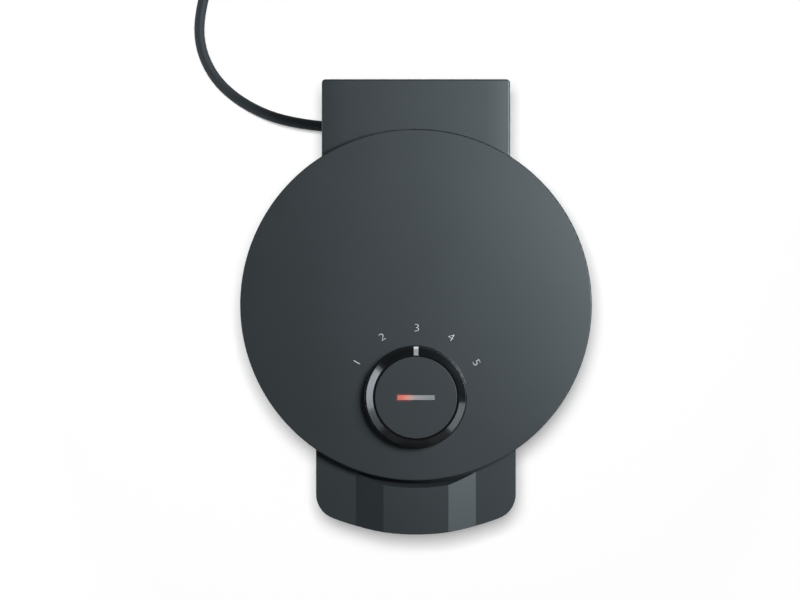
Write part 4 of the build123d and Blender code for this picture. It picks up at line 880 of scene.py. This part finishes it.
ring_tree, size, made = new_tree("growing rings", {
    "Count": 6, "Pitch": 0.0035, "First radius": 0.0062, "Radius step": -0.0003, "Wire": 0.0006,
})
tree = ring_tree
points = place(tree, "GeometryNodeMeshLine", {"Count": size["Count"], "Offset": upward(tree, size["Pitch"])})
index = place(tree, "GeometryNodeInputIndex")
radius = compute(tree, "MULTIPLY_ADD", index, size["Radius step"], size["First radius"])
spread = place(tree, "GeometryNodeInstanceOnPoints", {
    "Points": points, "Instance": circle_of(tree, 96, 1.0), "Scale": radius,
})
circles = place(tree, "GeometryNodeRealizeInstances", {"Geometry": spread})
realise(tree, tube_along(tree, circles, 10, size["Wire"]), finishes["relief_rubber"], made)

relief_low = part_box("cord_strain_relief")[0]
first_ring_radius, ring_growth = 4.9 * MM, 0.26 * MM
first_ring_inset = 1.2 * MM
first_ring = Vector((relief_low.x + first_ring_inset, exit_y * MM, exit_z * MM))
mesh = run_tree(ring_tree, {"First radius": first_ring_radius, "Radius step": ring_growth})
add_piece("relief_rings", mesh, "base", frame_at(first_ring, (1, 0, 0)))
print("relief rings from x", in_mm(first_ring.x), "mm inwards")

# %% [markdown]
# ### The braided sleeve across the hinge
# The leads cross the hinge in a sleeve of braided glass thread. Threads run round it in both directions. One
# thread is a helix swept with a small circle, and the tree turns copies of it round the axis and mirrors
# half of them. Mirroring turns a mesh inside out, so those faces are flipped back.

# %% Braided sleeve
tree, size, made = new_tree("braid", {
    "Threads": 12, "Turns": 1.6, "Length": 0.038, "Radius": 0.0036, "Thread radius": 0.0004,
})
helix = place(tree, "GeometryNodeCurveSpiral", {
    "Resolution": 44, "Rotations": size["Turns"], "Height": size["Length"],
    "Start Radius": size["Radius"], "End Radius": size["Radius"],
})
same_places = place(tree, "GeometryNodeMeshLine", {"Count": size["Threads"], "Offset": (0, 0, 0)})
one_way = place(tree, "GeometryNodeRealizeInstances", {
    "Geometry": place(tree, "GeometryNodeInstanceOnPoints", {
        "Points": same_places, "Instance": tube_along(tree, helix, 6, size["Thread radius"]),
        "Rotation": even_turns(tree, size["Threads"]),
    }),
})
mirrored = place(tree, "GeometryNodeTransform", {"Geometry": one_way, "Scale": (-1, 1, 1)})
other_way = place(tree, "GeometryNodeFlipFaces", {"Mesh": mirrored})
realise(tree, join(tree, other_way, one_way), finishes["woven_sleeve"], made)

sleeve_low, sleeve_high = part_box("hinge_lead_sleeve")
sleeve_length = sleeve_high.z - sleeve_low.z
sleeve_radius = (sleeve_high.x - sleeve_low.x) / 2
thread_inset, tube_inset = 0.4 * MM, 0.7 * MM
sleeve_foot = Vector((0, (sleeve_low.y + sleeve_high.y) / 2, sleeve_low.z))
mesh = run_tree(tree, {"Length": sleeve_length, "Radius": sleeve_radius - thread_inset})
braid = add_piece("braided_sleeve", mesh, None, Matrix.Translation(sleeve_foot))
print("braid:", len(mesh.polygons), "faces")

# %% [markdown]
# Inside the braid sits a plain inner tube, so no gap shows between the threads. A cylinder would have no
# points along its length, so the tube is built from many rings of points, which let it bend smoothly.

# %% Inner tube of the sleeve
tube_steps, tube_sides = 24, 28
tube_radius = sleeve_radius - tube_inset
tube = bmesh.new()
last_ring = None
for number in range(tube_steps + 1):
    height = sleeve_low.z + sleeve_length * number / tube_steps
    ring = []
    for side in range(tube_sides):
        angle = 2 * math.pi * side / tube_sides
        across, along = tube_radius * math.cos(angle), tube_radius * math.sin(angle)
        ring.append(tube.verts.new((sleeve_foot.x + across, sleeve_foot.y + along, height)))
    if last_ring:
        for side in range(tube_sides):
            after = (side + 1) % tube_sides
            tube.faces.new((last_ring[side], last_ring[after], ring[after], ring[side]))
    else:
        tube.faces.new(reversed(ring))
    last_ring = ring
tube.faces.new(last_ring)
mesh = bpy.data.meshes.new("sleeve_inner_tube")
tube.to_mesh(mesh)
tube.free()
mesh.materials.append(finishes["woven_sleeve"])
inner_tube = add_piece("sleeve_inner_tube", mesh, None)
print("inner tube:", len(mesh.polygons), "faces")

# %% [markdown]
# The sleeve crosses the hinge. Riding on one body would tear it off the other, so its two pieces ride on
# neither: their place is baked into their meshes.

# %% The sleeve's place, baked into its meshes
for piece in (braid, inner_tube):
    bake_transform(piece)
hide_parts("hinge_lead_sleeve")

# %% [markdown]
# ### Ridges on the plug
# A moulded plug has ridges on its sloping shoulder for the fingers. The tree sets one rounded bar on each
# point of a circle, leaning in towards the neck. The plug's axis runs from the cord's end to its pins, to
# the right and front in equal parts and a little upwards.

# %% Finger ridges round the plug
tree, size, made = new_tree("ridges", {
    "Count": 18, "Circle": 0.0128, "Length": 0.013, "Width": 0.0009, "Lean": 0.40,
})
line = place(tree, "GeometryNodeCurvePrimitiveLine", {
    "Direction": (0, 0, 1), "Length": size["Length"],
}, mode="DIRECTION")
leaning_bar = place(tree, "GeometryNodeTransform", {
    "Geometry": tube_along(tree, line, 8, size["Width"], closed=True),
    "Rotation": place(tree, "ShaderNodeCombineXYZ", {"Y": size["Lean"]}),
})
ring = place(tree, "GeometryNodeMeshCircle", {"Vertices": size["Count"], "Radius": size["Circle"]})
spread = place(tree, "GeometryNodeInstanceOnPoints", {
    "Points": ring, "Instance": leaning_bar, "Rotation": even_turns(tree, size["Count"]),
})
realise(tree, spread, finishes["plug_rubber"], made)

plug_tail = Vector((-40.94, 264.06, 6.0)) * MM
plug_tilt = math.radians(17.8)
level_share = math.cos(plug_tilt) * math.sqrt(0.5)
plug_axis = Vector((level_share, -level_share, math.sin(plug_tilt)))
ridge_start = 25.4 * MM
ridge_sizes = {"Circle": 10.5 * MM, "Length": 12.4 * MM, "Width": 0.85 * MM, "Lean": 0.405}
mesh = run_tree(tree, ridge_sizes)
at_shoulder = frame_at(plug_tail + plug_axis * ridge_start, plug_axis)
add_piece("plug_ridges", mesh, "base", at_shoulder)
print("ridges:", len(mesh.polygons), "faces")

# %% [markdown]
# ### A bright edge on the dial
# The dial's lower lip and the foot of its slope end in fine rounded edges, which show as thin lines of light
# where they face a lamp. Two rings do for them, so the tree of the relief's rings is used again, with its
# material exchanged.

# %% Rounded edges of the dial's lip and slope
edge_wire = 0.32 * MM
edge_radius = (dial_high.x - dial_low.x) / 2 - edge_wire
edge_height = 93.55 * MM
slope_rise, slope_inset = 4.4 * MM, 0.95 * MM
mesh = run_tree(ring_tree, {
    "Count": 2, "Pitch": slope_rise, "First radius": edge_radius, "Radius step": -slope_inset,
    "Wire": edge_wire,
})
mesh.materials.clear()
mesh.materials.append(finishes["dial_edge"])
at_lip = Matrix.Translation((dial_x, dial_y, edge_height))
add_piece("dial_lip_edge", mesh, "dial", at_lip)
print("lip edge on a radius of", in_mm(edge_radius, 2), "mm")
